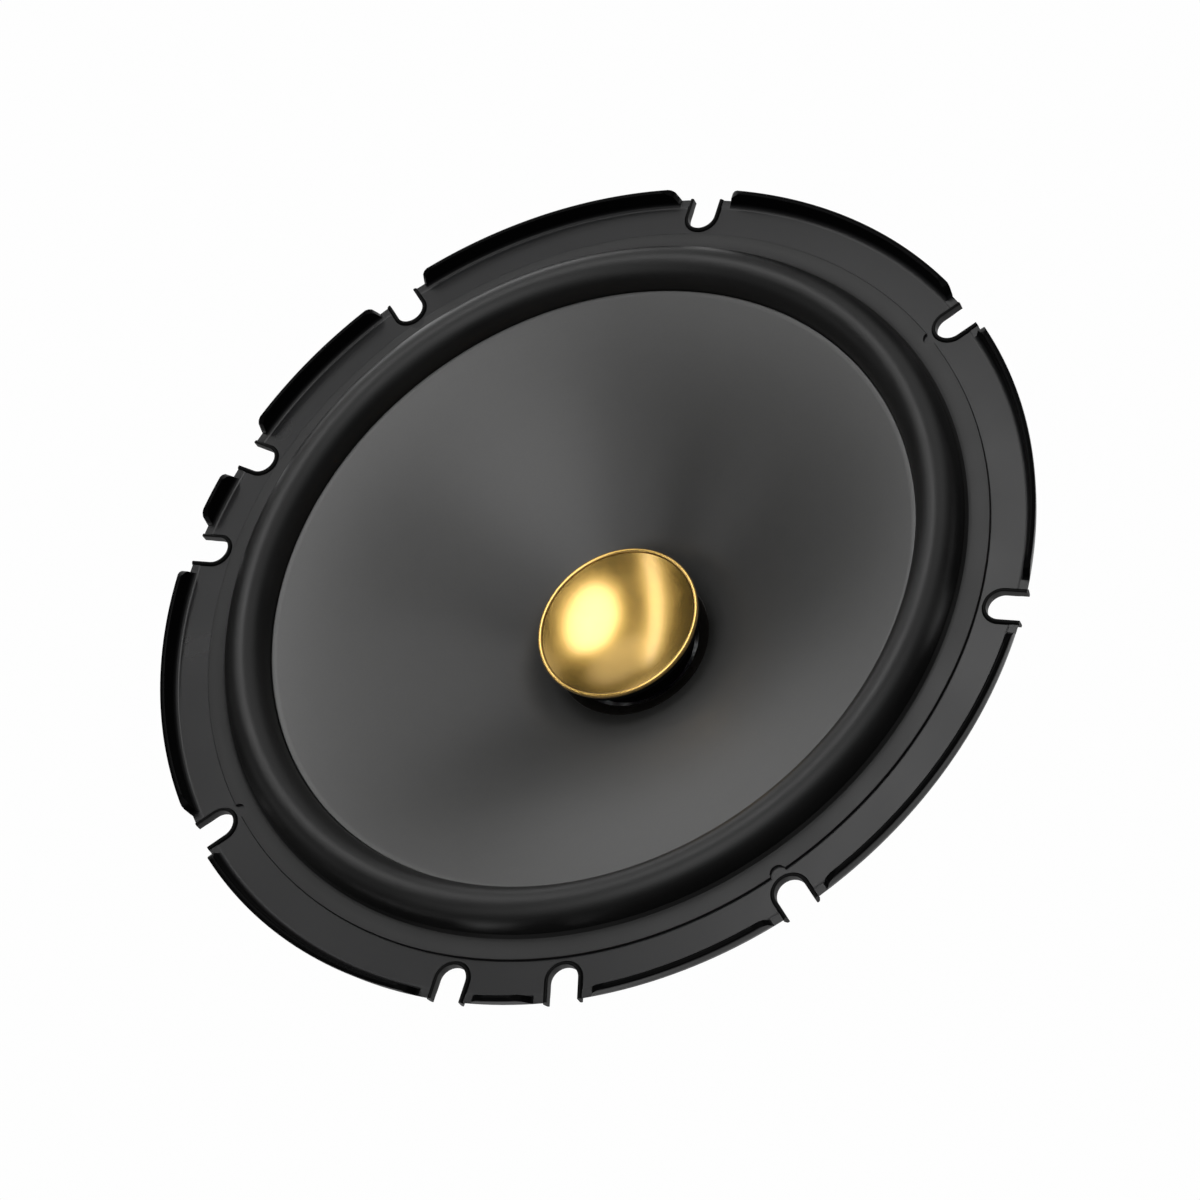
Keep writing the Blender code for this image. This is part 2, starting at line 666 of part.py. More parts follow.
def make_tweeter_body(plastic, gold, film, parts):
    housing_profile = [
        (CUP_RADIUS, CUP_WALL_TOP),
        (CUP_RADIUS, CUP_BOTTOM + 0.6),
        (CUP_RADIUS - 0.6, CUP_BOTTOM),
        (BOSS_RADIUS, CUP_BOTTOM),
        (BOSS_RADIUS, BOSS_BOTTOM),
        (WIRE_PORT_RADIUS, BOSS_BOTTOM),
        (WIRE_PORT_RADIUS, BOSS_BOTTOM + BOSS_FLOOR),
        (BOSS_RADIUS - BOSS_WALL, BOSS_BOTTOM + BOSS_FLOOR),
        (BOSS_RADIUS - BOSS_WALL, CUP_BOTTOM + CUP_FLOOR),
        (CUP_RADIUS - CUP_WALL, CUP_BOTTOM + CUP_FLOOR),
        (CUP_RADIUS - CUP_WALL, CUP_WALL_TOP),
    ]
    turned("tweeter_housing", housing_profile, TWEETER_STEPS, plastic, parts)
    bezel_bottom = BEZEL_FRONT - BEZEL_HEIGHT
    bezel_profile = [
        (BEZEL_RADIUS - 0.2, BEZEL_FRONT),
        (BEZEL_RADIUS, BEZEL_FRONT - 0.2),
        (BEZEL_RADIUS - 0.1, bezel_bottom),
        (DISH_RADIUS + 0.35, bezel_bottom),
        (DISH_RADIUS + 0.35, BEZEL_FRONT),
    ]
    turned("tweeter_bezel", bezel_profile, TWEETER_STEPS, gold, parts)
    film_bottom = CUP_WALL_TOP + GLUE_GAP
    film_profile = ring_profile(FILM_INNER_RADIUS, FILM_OUTER_RADIUS, film_bottom, film_bottom + FILM_SHEET)
    turned("tweeter_suspension", film_profile, TWEETER_STEPS, film, parts)


def make_post(steel, parts, cutters):
    """Hollow stud with a seat under the tweeter, and the nut that holds it at the rear."""
    seat_top = BOSS_BOTTOM - GLUE_GAP
    seat_bottom = seat_top - POST_SEAT_HEIGHT
    profile = [
        (POST_SEAT_RADIUS, seat_top),
        (POST_SEAT_RADIUS, seat_bottom),
        (POST_RADIUS, seat_bottom),
        (POST_RADIUS, POST_BOTTOM),
        (POST_BORE, POST_BOTTOM),
        (POST_BORE, seat_top),
    ]
    turned("tweeter_post", profile, POST_STEPS, steel, parts)
    nut_top = NUT_RECESS_DEPTH - GLUE_GAP
    middle = (0, 0, (NUT_BOTTOM + nut_top) / 2)
    nut = cylinder("post_nut", NUT_CORNER_RADIUS, nut_top - NUT_BOTTOM, middle, (0, 0, 1), 6, steel, parts)
    hole_cutter("nut_bore", POST_RADIUS + GLUE_GAP, 0, 0, 0.0, 8.0, steel, cutters["nut"])
    cut_with(nut, cutters["nut"], "bore")


def make_tweeter_wires(insulation, parts):
    """Two insulated wires: down the hollow post, along the groove in the yoke, up beside the magnet."""
    for side, name in ((1, "tweeter_wire_positive"), (-1, "tweeter_wire_negative")):
        x = 0.55 * side
        guides = [
            (x, 0.0, 32.3), (x, 0.0, 24.0), (x, 0.0, 14.0), (x, 0.0, 6.0), (x, 0.0, 3.2),
            (x, 0.5, 1.7), (x, 2.4, 1.2), (x, 8.0, 1.2), (x, 18.0, 1.2), (x, 28.0, 1.2),
            (x, 37.0, 1.3), (x, 40.2, 2.2), (x, 41.4, 5.0), (x * 1.5, 41.5, 12.0),
        ]
        if side > 0:
            guides += [(4.2, 42.3, 18.5), (8.2, 45.0, 20.6), (8.4, 48.6, 21.2), (7.1, 49.9, 21.3)]
        else:
            guides += [(-2.6, 41.6, 18.5), (-5.6, 42.3, 22.5), (-6.5, 43.2, 25.4)]
        wire(name, guides, WIRE_DIAMETER, 34, insulation[name], parts)


# ---------------------------------------------------------------- terminals

def make_terminal_board(phenolic, steel, parts, cutters):
    half = BOARD_WIDTH / 2
    corners = [(-half, BOARD_INNER), (half, BOARD_INNER), (half, BOARD_OUTER), (-half, BOARD_OUTER)]
    bottom = BOARD_TOP - BOARD_THICKNESS
    outline = round_corner_outline(corners, 2.5)
    board = outline_solid("terminal_board", outline, bottom, BOARD_TOP, phenolic, parts)
    head_top = LEDGE_HEIGHT + SHEET / 2 + GLUE_GAP
    foot_top = bottom - GLUE_GAP
    profile = [
        (0.0, head_top + 0.8),
        (BOARD_RIVET_HEAD_RADIUS - 0.6, head_top + 0.8),
        (BOARD_RIVET_HEAD_RADIUS, head_top + 0.3),
        (BOARD_RIVET_HEAD_RADIUS, head_top),
        (BOARD_RIVET_RADIUS, head_top),
        (BOARD_RIVET_RADIUS, foot_top),
        (BOARD_RIVET_HEAD_RADIUS, foot_top),
        (BOARD_RIVET_HEAD_RADIUS, foot_top - 0.6),
        (0.0, foot_top - 0.6),
    ]
    for index, side in enumerate((-1, 1)):
        x = side * BOARD_RIVET_X
        hole_cutter(f"board_hole_{index}", BOARD_RIVET_HOLE_RADIUS, x, BOARD_RIVET_Y, 24.0, 30.0,
                    phenolic, cutters["board"])
        rivet = turned(f"board_rivet_{index + 1}", profile, RIVET_STEPS, steel, parts, closed=False)
        rivet.location = (x * MM, BOARD_RIVET_Y * MM, 0.0)
    cut_with(board, cutters["board"], "rivet holes")


def make_blade(name, side, width, tin, parts, cutters):
    """A push-on blade terminal: flat, with a tapered tip and a locking hole."""
    middle, half = side * BLADE_SPACING, width / 2
    outline = [
        (middle - half, BLADE_INNER),
        (middle + half, BLADE_INNER),
        (middle + half, BLADE_OUTER - BLADE_TAPER),
        (middle + half - BLADE_TAPER, BLADE_OUTER),
        (middle - half + BLADE_TAPER, BLADE_OUTER),
        (middle - half, BLADE_OUTER - BLADE_TAPER),
    ]
    bottom = BOARD_TOP + GLUE_GAP
    blade = outline_solid(name, outline, bottom, bottom + BLADE_THICKNESS, tin, parts)
    hole_cutter(name + "_hole", width / 6, middle, BLADE_OUTER - BLADE_HOLE_SETBACK, 27.0, 30.0,
                tin, cutters[name])
    cut_with(blade, cutters[name], "locking hole")


def make_capacitor(sleeve, parts):
    body = cylinder("crossover_capacitor", CAPACITOR_RADIUS, CAPACITOR_LENGTH, CAPACITOR_CENTRE,
                    (1, 0, 0), 20, sleeve, parts)
    bevel = body.modifiers.new("rim", "BEVEL")
    bevel.width = 0.6 * MM
    bevel.segments = 1
    bevel.limit_method = "ANGLE"
    bevel.angle_limit = math.radians(60)


def make_tinsel_leads(braid, parts):
    """Two braided leads from the blades, through the window, to the eyelets behind the cone."""
    for side, name in ((1, "tinsel_lead_positive"), (-1, "tinsel_lead_negative")):
        place, normal = eyelet_frame(side)
        end = place - normal * (CONE_SHEET + GLUE_GAP + 0.8 + GLUE_GAP + 0.5)
        guides = [
            (side * 6.5, 52.6, 29.7), (side * 6.5, 51.0, 31.0), (side * 6.4, 47.5, 32.7),
            (side * 6.3, 41.0, 33.4), (side * 6.2, 34.0, 33.1), (side * 6.0, 28.0, 33.4), end,
        ]
        wire(name, guides, LEAD_DIAMETER, 18, braid, parts)


# ---------------------------------------------------------------- assembly

def move_together(name, height, pieces):
    """An empty on the loudspeaker's axis that carries pieces which travel along it."""
    carrier = bpy.data.objects.new(name, None)
    carrier.location = (0.0, 0.0, height * MM)
    bpy.context.scene.collection.objects.link(carrier)
    bpy.context.view_layer.update()
    for piece in pieces:
        piece.parent = carrier
        piece.matrix_parent_inverse = carrier.matrix_world.inverted()


def make_speaker():
    clear_scene()
    parts = new_collection("coaxial_car_speaker")
    cutter_home = new_collection("cutters")
    names = ("basket", "lip", "yoke", "top_plate", "surround", "nut", "board",
             "terminal_positive", "terminal_negative")
    cutters = {}
    for name in names:
        cutters[name] = bpy.data.collections.new(name + "_cutters")
        cutter_home.children.link(cutters[name])

    black_paint = make_material("black_paint", (0.018, 0.018, 0.019), 0.42, 0.2)
    plain_steel = make_material("zinc_plated_steel", (0.55, 0.56, 0.58), 0.35, 0.9)
    ferrite = make_material("ferrite", (0.045, 0.045, 0.048), 0.6)
    rubber = make_material("black_rubber", (0.012, 0.012, 0.012), 0.5)
    cone_paper = make_material("cone_composite", (0.035, 0.036, 0.037), 0.6)
    cloth = make_material("spider_cloth", (0.45, 0.33, 0.12), 0.9)
    former_film = make_material("former_film", (0.03, 0.022, 0.016), 0.35)
    copper = make_material("copper_winding", (0.55, 0.2, 0.08), 0.35, 0.9)
    brass = make_material("brass", (0.6, 0.42, 0.16), 0.35, 0.9)
    gold = make_material("gold_tweeter", (0.78, 0.55, 0.22), 0.25, 0.9)
    plastic = make_material("black_plastic", (0.012, 0.012, 0.012), 0.4)
    film = make_material("suspension_film", (0.05, 0.04, 0.03), 0.6)
    magnet_plate = make_material("nickel_plate", (0.6, 0.6, 0.62), 0.25, 1.0)
    phenolic = make_material("board_plastic", (0.02, 0.02, 0.02), 0.5)
    tin = make_material("tinned_brass", (0.7, 0.68, 0.62), 0.3, 0.9)
    sleeve = make_material("capacitor_sleeve", (0.02, 0.03, 0.12), 0.35)
    braid = make_material("tinsel_braid", (0.5, 0.4, 0.3), 0.5, 0.6)
    insulation = {
        "tweeter_wire_positive": make_material("red_insulation", (0.35, 0.02, 0.02), 0.45),
        "tweeter_wire_negative": make_material("black_insulation", (0.015, 0.015, 0.015), 0.45),
    }

    make_basket(black_paint, parts, cutters)
    make_motor(plain_steel, ferrite, parts, cutters)
    make_basket_rivets(plain_steel, parts)
    make_surround(rubber, parts, cutters)
    make_spider(cloth, parts)
    moving = [make_cone(cone_paper, parts)]
    moving += make_voice_coil(former_film, copper, parts)
    moving += make_eyelets(brass, parts)
    move_together("cone_travel", SPIDER_HEIGHT, moving)

    make_tweeter_body(plastic, gold, film, parts)
    make_tweeter_motor(plain_steel, magnet_plate, parts)
    move_together("tweeter_travel", BEZEL_FRONT, make_tweeter_diaphragm(gold, copper, parts))
    make_post(plain_steel, parts, cutters)
    make_tweeter_wires(insulation, parts)

    make_terminal_board(phenolic, plain_steel, parts, cutters)
    make_blade("terminal_positive", 1, POSITIVE_BLADE_WIDTH, tin, parts, cutters)
    make_blade("terminal_negative", -1, NEGATIVE_BLADE_WIDTH, tin, parts, cutters)
    make_capacitor(sleeve, parts)
    make_tinsel_leads(braid, parts)


make_speaker()
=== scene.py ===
"""Looks of a coaxial car loudspeaker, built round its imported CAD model.

Lengths are in millimetres until a mesh is made. Heights and radii come from the CAD nodes' boxes and the
record's mounts where they can; the rest are named below, in line with the CAD source.
"""
import json
import math

import bmesh
import bpy
import numpy as np
from mathutils import Matrix, Vector


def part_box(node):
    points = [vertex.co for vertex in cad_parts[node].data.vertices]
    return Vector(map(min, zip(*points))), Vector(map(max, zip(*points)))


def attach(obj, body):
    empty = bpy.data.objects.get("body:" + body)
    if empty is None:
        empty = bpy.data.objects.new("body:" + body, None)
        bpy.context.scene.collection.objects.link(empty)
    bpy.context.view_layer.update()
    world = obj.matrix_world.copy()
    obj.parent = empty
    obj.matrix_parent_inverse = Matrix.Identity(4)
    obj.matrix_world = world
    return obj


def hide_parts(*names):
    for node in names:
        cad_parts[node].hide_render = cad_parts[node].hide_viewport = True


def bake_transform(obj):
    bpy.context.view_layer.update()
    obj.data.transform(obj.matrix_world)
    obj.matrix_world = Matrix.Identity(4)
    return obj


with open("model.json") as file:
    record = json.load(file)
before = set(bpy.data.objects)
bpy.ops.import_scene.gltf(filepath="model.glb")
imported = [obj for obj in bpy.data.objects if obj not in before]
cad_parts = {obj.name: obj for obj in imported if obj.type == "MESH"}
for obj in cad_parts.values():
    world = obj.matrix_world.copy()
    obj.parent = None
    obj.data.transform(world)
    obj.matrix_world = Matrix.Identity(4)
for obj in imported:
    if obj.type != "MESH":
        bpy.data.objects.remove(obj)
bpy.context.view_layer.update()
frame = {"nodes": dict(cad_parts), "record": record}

MM = 0.001

# Points nearer the axis than this are on it
ON_AXIS = 1e-6

# Edges that turn more degrees than this stay sharp in the shading
SHARP_ANGLE = 32.0

# Facets round a turned piece, from the widest pieces to the smallest
STEPS = 288
DISH_STEPS = 256
MIDDLE_STEPS = 192
SMALL_STEPS = 64
TINY_STEPS = 32


# ---- sizes read from the frame

def top(node):
    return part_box(node)[1].z / MM


def bottom(node):
    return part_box(node)[0].z / MM


def reach(node):
    """Largest radius of a node that is centred on the axis."""
    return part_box(node)[1].x / MM


def mount_point(name):
    for mount in frame["record"]["mounts"]:
        if mount["name"] == name:
            return [value / MM for value in mount["pos_m"]]
    raise ValueError(name)


FLANGE_FRONT = mount_point("screw_head_seat")[2]
FLANGE_REAR = mount_point("flange_rear_seat")[2]
SHEET = FLANGE_FRONT - FLANGE_REAR
LIP_TOP = top("basket")
ROLL_CREST = top("surround")
RING_RADIUS = reach("surround")
SPIDER_RADIUS = reach("spider")
BEZEL_FRONT = top("tweeter_bezel")
BEZEL_BOTTOM = bottom("tweeter_bezel")
BEZEL_RADIUS = reach("tweeter_bezel")
CUP_RADIUS = reach("tweeter_housing")
CUP_SEAT = top("tweeter_housing")
BOSS_BOTTOM = bottom("tweeter_housing")
DISH_RADIUS = reach("tweeter_diaphragm")
DISH_RIM = top("tweeter_diaphragm")
MAGNET_RADIUS = reach("magnet")
YOKE_RADIUS = reach("yoke")
PLATE_BOTTOM = bottom("top_plate")
PLATE_TOP = top("top_plate")
FORMER_RADIUS = reach("voice_coil_former")
FORMER_TOP = top("voice_coil_former")
BOARD_TOP = top("terminal_board")
BOARD_BOTTOM = bottom("terminal_board")
BLADE_BOTTOM = bottom("terminal_positive")
BLADE_TOP = top("terminal_positive")

# Sizes that the boxes don't give, in line with the CAD source. Pairs are (radius, height) unless marked.
GLUE_GAP = 0.3  # between the CAD solids, closed where pieces lie on each other here
LIP_TOP_RADIUS = 81.95
LIP_ROOT_RADIUS = 81.2
FLANGE_INNER_RADIUS = 68.2
WALL_FOOT = (66.2, 46.6)
LEDGE_OUTER_RADIUS = 48.6
LEDGE_INNER_RADIUS = 38.4
LEDGE_HEIGHT = 28.6
FLOOR_OUTER_RADIUS = 35.4
FLOOR_INNER_RADIUS = 16.6
FLOOR_HEIGHT = PLATE_TOP + SHEET / 2
BASKET_BEND = 1.3
QUARTER_TURNS = (0, 90, 180, 270)
WINDOW_BOTTOM = 29.8
WINDOW_TOP = 45.0
WINDOW_HALF_ANGLE = 32.0
WINDOW_CORNER = 4.0
SLOT_ANGLES = (0, 45, 90, 120, 135, 180, 225, 240, 270, 315)
SLOT_HALF_WIDTH = 2.7
SLOT_PITCH_RADIUS = 78.1
LIP_GAP_ROOT_ANGLE = 3.6
LIP_GAP_TOP_ANGLE = 4.5
CONE_SHEET = 0.7
CONE_NECK = (13.2, 31.8)
CONE_EDGE = (60.8, 57.7)
CONE_STRAIGHTNESS = 0.55
ROLL_CENTRE_RADIUS = 65.55
ROLL_HALF_WIDTH = 4.1
ROLL_FOOT_RADIUS = 70.2
SURROUND_SHEET = 0.5
SURROUND_INNER_RADIUS = 58.4
RELIEF_RADIUS = 1.4
SPIDER_HEIGHT = 29.85
SPIDER_SHEET = 0.42
SPIDER_LANDING = 4.2
SPIDER_WAVES = 5
SPIDER_WAVE_HEIGHT = 0.85
SPIDER_WAVE_END = 15.6
SPIDER_NECK = 14.2
POLE_RADIUS = 12.0
POLE_BORE = 3.0
RECESS_RADIUS = 7.0
RECESS_DEPTH = 5.5
GROOVE_HALF_WIDTH = 1.6
GROOVE_START = 5.0
GROOVE_DEPTH = 2.2
MAGNET_BORE = 20.0
PLATE_BORE = 14.3
POST_RADIUS = 2.6
POST_BORE = 1.3
POST_SEAT_RADIUS = 6.0
NUT_RADIUS = 4.6
DISH_DEPTH = 2.0
DISH_SHEET = 0.25
BEZEL_BORE = 14.65
CUP_STEP_RADIUS = 14.8
CUP_BORE = 13.6
CUP_FLOOR = 38.3
CUP_WALL = 0.9
BOSS_RADIUS = 11.5
BOSS_BORE = 10.1
BOSS_FLOOR = 1.0
WIRE_HOLE_RADIUS = 1.6
BASKET_RIVET_CIRCLE = 26.0
BOARD_RIVET = (9.0, 44.6)  # x and y
EYELET_CIRCLE = 24.0
EYELET_ANGLE = 14
BLADES = (("positive", 1, 4.8), ("negative", -1, 2.8))  # name, side, width
BLADE_SPACING = 6.5
BLADE_INNER = 49.8
BLADE_OUTER = 65.0
LOCKING_HOLE_SETBACK = 3.6
CAPACITOR_RADIUS = 3.9
CAPACITOR_LENGTH = 13.0
WIRE_DIAMETER = 0.8
LEAD_DIAMETER = 1.0

# Sizes of what only the visual model has
SEAM = 0.02  # keeps faces that meet from lying in one plane
TUBE_END = 0.7  # a wire's radius at its ends, as a share of the rest
HEM_WIDTH = 0.85
HEM_RISE = 0.5
HEM_END_RADIUS = LIP_TOP_RADIUS
COLLAR_SPAN = (53.4, 56.4)  # y
COLLAR_RIM = 1.0
SOLDER_Y = 51.9

# The camera: tilt off the axis, the bearing of that tilt, and the camera's roll
VIEW_TILT = math.radians(38.33)
VIEW_BEARING = math.radians(2.29)
VIEW_ROLL = math.radians(-36.12)
VIEW_DISTANCE = 568.8
VIEW_OFFSET = (2.59, -3.86)
LENS = 96.54

LIGHT_DISTANCE = 0.9

# Soft lights round the loudspeaker: name, elevation and bearing in degrees, length and width in metres,
# twist in degrees about the light's own aim, power in watts
SOFTBOXES = (
    ("key", 62, 80, 0.46, 0.28, 75, 0.95),
    ("strip", 49, 112, 0.9, 0.07, 47, 0.42),
    ("overhead_front", 70, 255, 0.7, 0.7, 0, 1.4),
    ("back_horizon", 5, 88, 0.5, 0.5, 0, 0.85),
    ("back_middle", 38, 86, 0.3, 0.3, 0, 0.12),
    ("right_back", 34, 34, 0.8, 0.8, 0, 0.7),
    ("right", 50, 5, 0.5, 0.5, 0, 0.15),
    ("left", 45, 200, 0.5, 0.5, 0, 0.3),
    ("left_back", 24, 150, 0.4, 0.4, 0, 0.12),
    ("front_right", 54, 324, 0.5, 0.5, 0, 0.3),
    ("under_back", -38, 75, 1.4, 1.4, 0, 5.0),
    ("under_left", -35, 190, 1.4, 1.4, 0, 5.0),
    ("under_right", -35, 345, 1.4, 1.4, 0, 5.0),
    ("under_front", -55, 270, 1.2, 1.2, 0, 4.0),
)


# ---- profiles, as (radius, height)

def curved_corner(before, corner, after, radius, steps):
    """Points that round one corner, cut back by radius along both of its sides."""
    before, corner, after = Vector(before), Vector(corner), Vector(after)
    reach_in = min(radius, (before - corner).length * 0.45)
    reach_out = min(radius, (after - corner).length * 0.45)
    start = corner + (before - corner).normalized() * reach_in
    end = corner + (after - corner).normalized() * reach_out
    shares = [step / steps for step in range(steps + 1)]
    return [start * (1 - t) ** 2 + corner * 2 * t * (1 - t) + end * t ** 2 for t in shares]


def rounded_loop(corners, radius, steps=4):
    """A closed outline with every corner rounded."""
    points = []
    for index, corner in enumerate(corners):
        after = corners[(index + 1) % len(corners)]
        points += curved_corner(corners[index - 1], corner, after, radius, steps)
    return points


def rounded_line(corners, radius, steps=5):
    """An open line with every corner between its ends rounded."""
    points = [Vector(corners[0])]
    for before, corner, after in zip(corners, corners[1:], corners[2:]):
        points += curved_corner(before, corner, after, radius, steps)
    return points + [Vector(corners[-1])]


def rectangle(left, right, low, high):
    return [(left, low), (right, low), (right, high), (left, high)]


def clockwise(loop):
    """The same loop, turned so that a lathe gives it outward faces."""
    area = sum(a[0] * b[1] - b[0] * a[1] for a, b in zip(loop, loop[1:] + loop[:1]))
    return loop if area < 0 else loop[::-1]


def sheet_loop(line, thickness, end_steps=4):
    """The closed outline of a sheet about its middle line, with rounded ends."""
    line = [Vector(point) for point in line]
    sides = ([], [])
    for index, point in enumerate(line):
        before = line[max(index - 1, 0)]
        after = line[min(index + 1, len(line) - 1)]
        along = (after - before).normalized()
        normal = Vector((-along.y, along.x))
        step = (point - before) if index else (after - point)
        mitre = 1.0 / max(normal.dot(Vector((-step.y, step.x)).normalized()), 0.6)
        sides[0].append(point + normal * mitre * thickness / 2)
        sides[1].append(point - normal * mitre * thickness / 2)
    loop = sides[0] + half_round(sides[0][-1], sides[1][-1], line[-1] - line[-2], end_steps)
    loop += sides[1][::-1] + half_round(sides[1][0], sides[0][0], line[0] - line[1], end_steps)
    return clockwise(loop)


def half_round(start, end, outward, steps):
    """Points strictly between start and end on a half ellipse that bulges outward."""
    middle, half = (start + end) / 2, (end - start) / 2
    bulge = outward.normalized() * half.length * 0.8
    angles = [math.pi * step / (steps + 1) for step in range(1, steps + 1)]
    return [middle - half * math.cos(a) + bulge * math.sin(a) for a in angles]


def on_circle(radius, degrees):
    return radius * math.cos(math.radians(degrees)), radius * math.sin(math.radians(degrees))


def arc(start, end, steps):
    """Unit vectors at even angles from start to end, both included."""
    return [on_circle(1.0, start + (end - start) * step / steps) for step in range(steps + 1)]


def cone_front(radius):
    """Height of the cone's front surface: steeper at the neck than at the edge."""
    t = (radius - CONE_NECK[0]) / (CONE_EDGE[0] - CONE_NECK[0])
    curve = CONE_STRAIGHTNESS * t + (1 - CONE_STRAIGHTNESS) * (1 - (1 - t) ** 2)
    return CONE_NECK[1] + (CONE_EDGE[1] - CONE_NECK[1]) * curve


def cone_normal(radius):
    """Unit normal (radial, axial) of the cone's front surface."""
    step = 0.1
    slope = (cone_front(radius + step) - cone_front(radius - step)) / (2 * step)
    return Vector((-slope, 1.0)).normalized()


# ---- mesh makers

def new_object(name, mesh):
    piece = bpy.data.objects.new(name, mesh)
    bpy.context.scene.collection.objects.link(piece)
    return piece


def shade(piece):
    piece.data.shade_smooth()
    piece.data.set_sharp_from_angle(angle=math.radians(SHARP_ANGLE))
    return piece


def lathe(name, profile, steps=STEPS):
    """A solid of revolution about Z. Its profile runs clockwise, as a loop or from the axis back to it."""
    vertices, rows = [], []
    for radius, height in profile:
        if radius < ON_AXIS:
            rows.append([len(vertices)] * steps)
            vertices.append((0.0, 0.0, height * MM))
        else:
            rows.append(list(range(len(vertices), len(vertices) + steps)))
            circle = [on_circle(radius * MM, 360.0 * step / steps) for step in range(steps)]
            vertices += [(x, y, height * MM) for x, y in circle]
    pairs = list(zip(rows, rows[1:]))
    if profile[0][0] > ON_AXIS:
        pairs.append((rows[-1], rows[0]))
    faces = []
    for upper, lower in pairs:
        for step in range(steps):
            after = (step + 1) % steps
            corners = (upper[step], lower[step], lower[after], upper[after])
            face = tuple(dict.fromkeys(corners))
            if len(face) > 2:
                faces.append(face)
    mesh = bpy.data.meshes.new(name)
    mesh.from_pydata(vertices, [], faces)
    return shade(new_object(name, mesh))


def turned_solid(name, corners, corner_radius, corner_steps=3, steps=MIDDLE_STEPS):
    """A solid of revolution whose outline has all its corners rounded."""
    return lathe(name, rounded_loop(corners, corner_radius, corner_steps), steps)


def plain_ring(name, inner, outer, low, high, corner):
    return turned_solid(name, [(outer, high), (outer, low), (inner, low), (inner, high)], corner)


def loft(name, sections):
    """A capped skin over sections, each a loop of the same number of points."""
    count = len(sections[0])
    vertices = [tuple(Vector(point) * MM) for section in sections for point in section]
    faces = []
    for row in range(len(sections) - 1):
        here, there = row * count, (row + 1) * count
        for index in range(count):
            after = (index + 1) % count
            faces.append((here + index, here + after, there + after, there + index))
    faces.append(tuple(range(count))[::-1])
    faces.append(tuple(range(there, there + count)))
    mesh = bpy.data.meshes.new(name)
    mesh.from_pydata(vertices, [], faces)
    shape = bmesh.new()
    shape.from_mesh(mesh)
    bmesh.ops.recalc_face_normals(shape, faces=shape.faces)
    shape.to_mesh(mesh)
    shape.free()
    return shade(new_object(name, mesh))


def prism(name, outline, low, high, edge=0.0):
    """A flat outline in XY made thick, with its top and bottom edges eased."""
    centre = sum((Vector(point) for point in outline), Vector((0.0, 0.0))) / len(outline)
    levels = [(low, 0), (high, 0)]
    if edge:
        levels = [(low, edge), (low + edge, 0), (high - edge, 0), (high, edge)]
    sections = []
    for height, inset in levels:
        section = []
        for point in outline:
            away = Vector(point) - centre
            section.append((*(centre + away * (1 - inset / away.length)), height))
        sections.append(section)
    return loft(name, sections)


def carve(piece, cutters):
    """Cut a list of closed cutters out of a piece, apply it, and remove the cutters."""
    home = bpy.data.collections.new(piece.name + "_cutters")
    for cutter in cutters:
        home.objects.link(cutter)
    boolean = piece.modifiers.new("carve", "BOOLEAN")
    boolean.operation = "DIFFERENCE"
    boolean.solver = "EXACT"
    boolean.operand_type = "COLLECTION"
    boolean.collection = home
    bpy.context.view_layer.update()
    graph = bpy.context.evaluated_depsgraph_get()
    piece.data = bpy.data.meshes.new_from_object(piece.evaluated_get(graph), depsgraph=graph)
    piece.modifiers.clear()
    for cutter in cutters:
        bpy.data.objects.remove(cutter, do_unlink=True)
    bpy.data.collections.remove(home)
    shade(piece)


def weigh_normals(piece):
    """Keep large flat faces flat where small curved faces meet them."""
    weighted = piece.modifiers.new("normals", "WEIGHTED_NORMAL")
    weighted.keep_sharp = True
    weighted.weight = 90


def tube(name, guides, diameter, count, sides=12):
    """A round wire along a smooth curve through its guide points, as a closed mesh."""
    path = smooth_path([Vector(point) for point in guides], count)
    tangent = (path[1] - path[0]).normalized()
    side = tangent.orthogonal().normalized()
    sections = []
    for index, point in enumerate(path):
        before, after = path[max(index - 1, 0)], path[min(index + 1, count - 1)]
        along = (after - before).normalized()
        side = (side - along * side.dot(along)).normalized()
        across = along.cross(side)
        radius = diameter / 2 * (TUBE_END if index in (0, count - 1) else 1.0)
        sections.append([point + (side * x + across * y) * radius for x, y in arc(0, 360, sides)[:-1]])
    return loft(name, sections)


def smooth_path(guides, count):
    """Points on a centripetal Catmull-Rom curve through the guides."""
    ends = [guides[0] * 2 - guides[1]] + guides + [guides[-1] * 2 - guides[-2]]
    path = []
    for index in range(count):
        along = index / (count - 1) * (len(guides) - 1)
        span = min(int(along), len(guides) - 2)
        path.append(centripetal_point(ends[span:span + 4], along - span))
    return path


def centripetal_point(four, t):
    knots = [0.0]
    for a, b in zip(four, four[1:]):
        knots.append(knots[-1] + (b - a).length ** 0.5)
    here = knots[1] + (knots[2] - knots[1]) * t
    row = list(four)
    for level in (1, 2, 3):
        for index in range(4 - level):
            low = knots[max(index, 1 if level == 3 else index)]
            high = knots[min(index + level, 2 if level == 3 else index + level)]
            share = (here - low) / (high - low)
            row[index] = row[index] * (1 - share) + row[index + 1] * share
    return row[0]


def turned(piece, degrees):
    piece.matrix_world = Matrix.Rotation(math.radians(degrees), 4, "Z")
    return piece


def join(name, pieces):
    """One object from several, keeping their shapes as separate islands."""
    shape = bmesh.new()
    for piece in pieces:
        piece.data.transform(piece.matrix_world)
        shape.from_mesh(piece.data)
        bpy.data.objects.remove(piece, do_unlink=True)
    mesh = bpy.data.meshes.new(name)
    shape.to_mesh(mesh)
    shape.free()
    return shade(new_object(name, mesh))


# ---- materials

# The middle span of a noise's values, which carries most of its pattern
NOISE_LOW, NOISE_HIGH = 0.3, 0.7

# Metres between the bands of a wave texture at scale 1
BAND_PITCH = 0.314

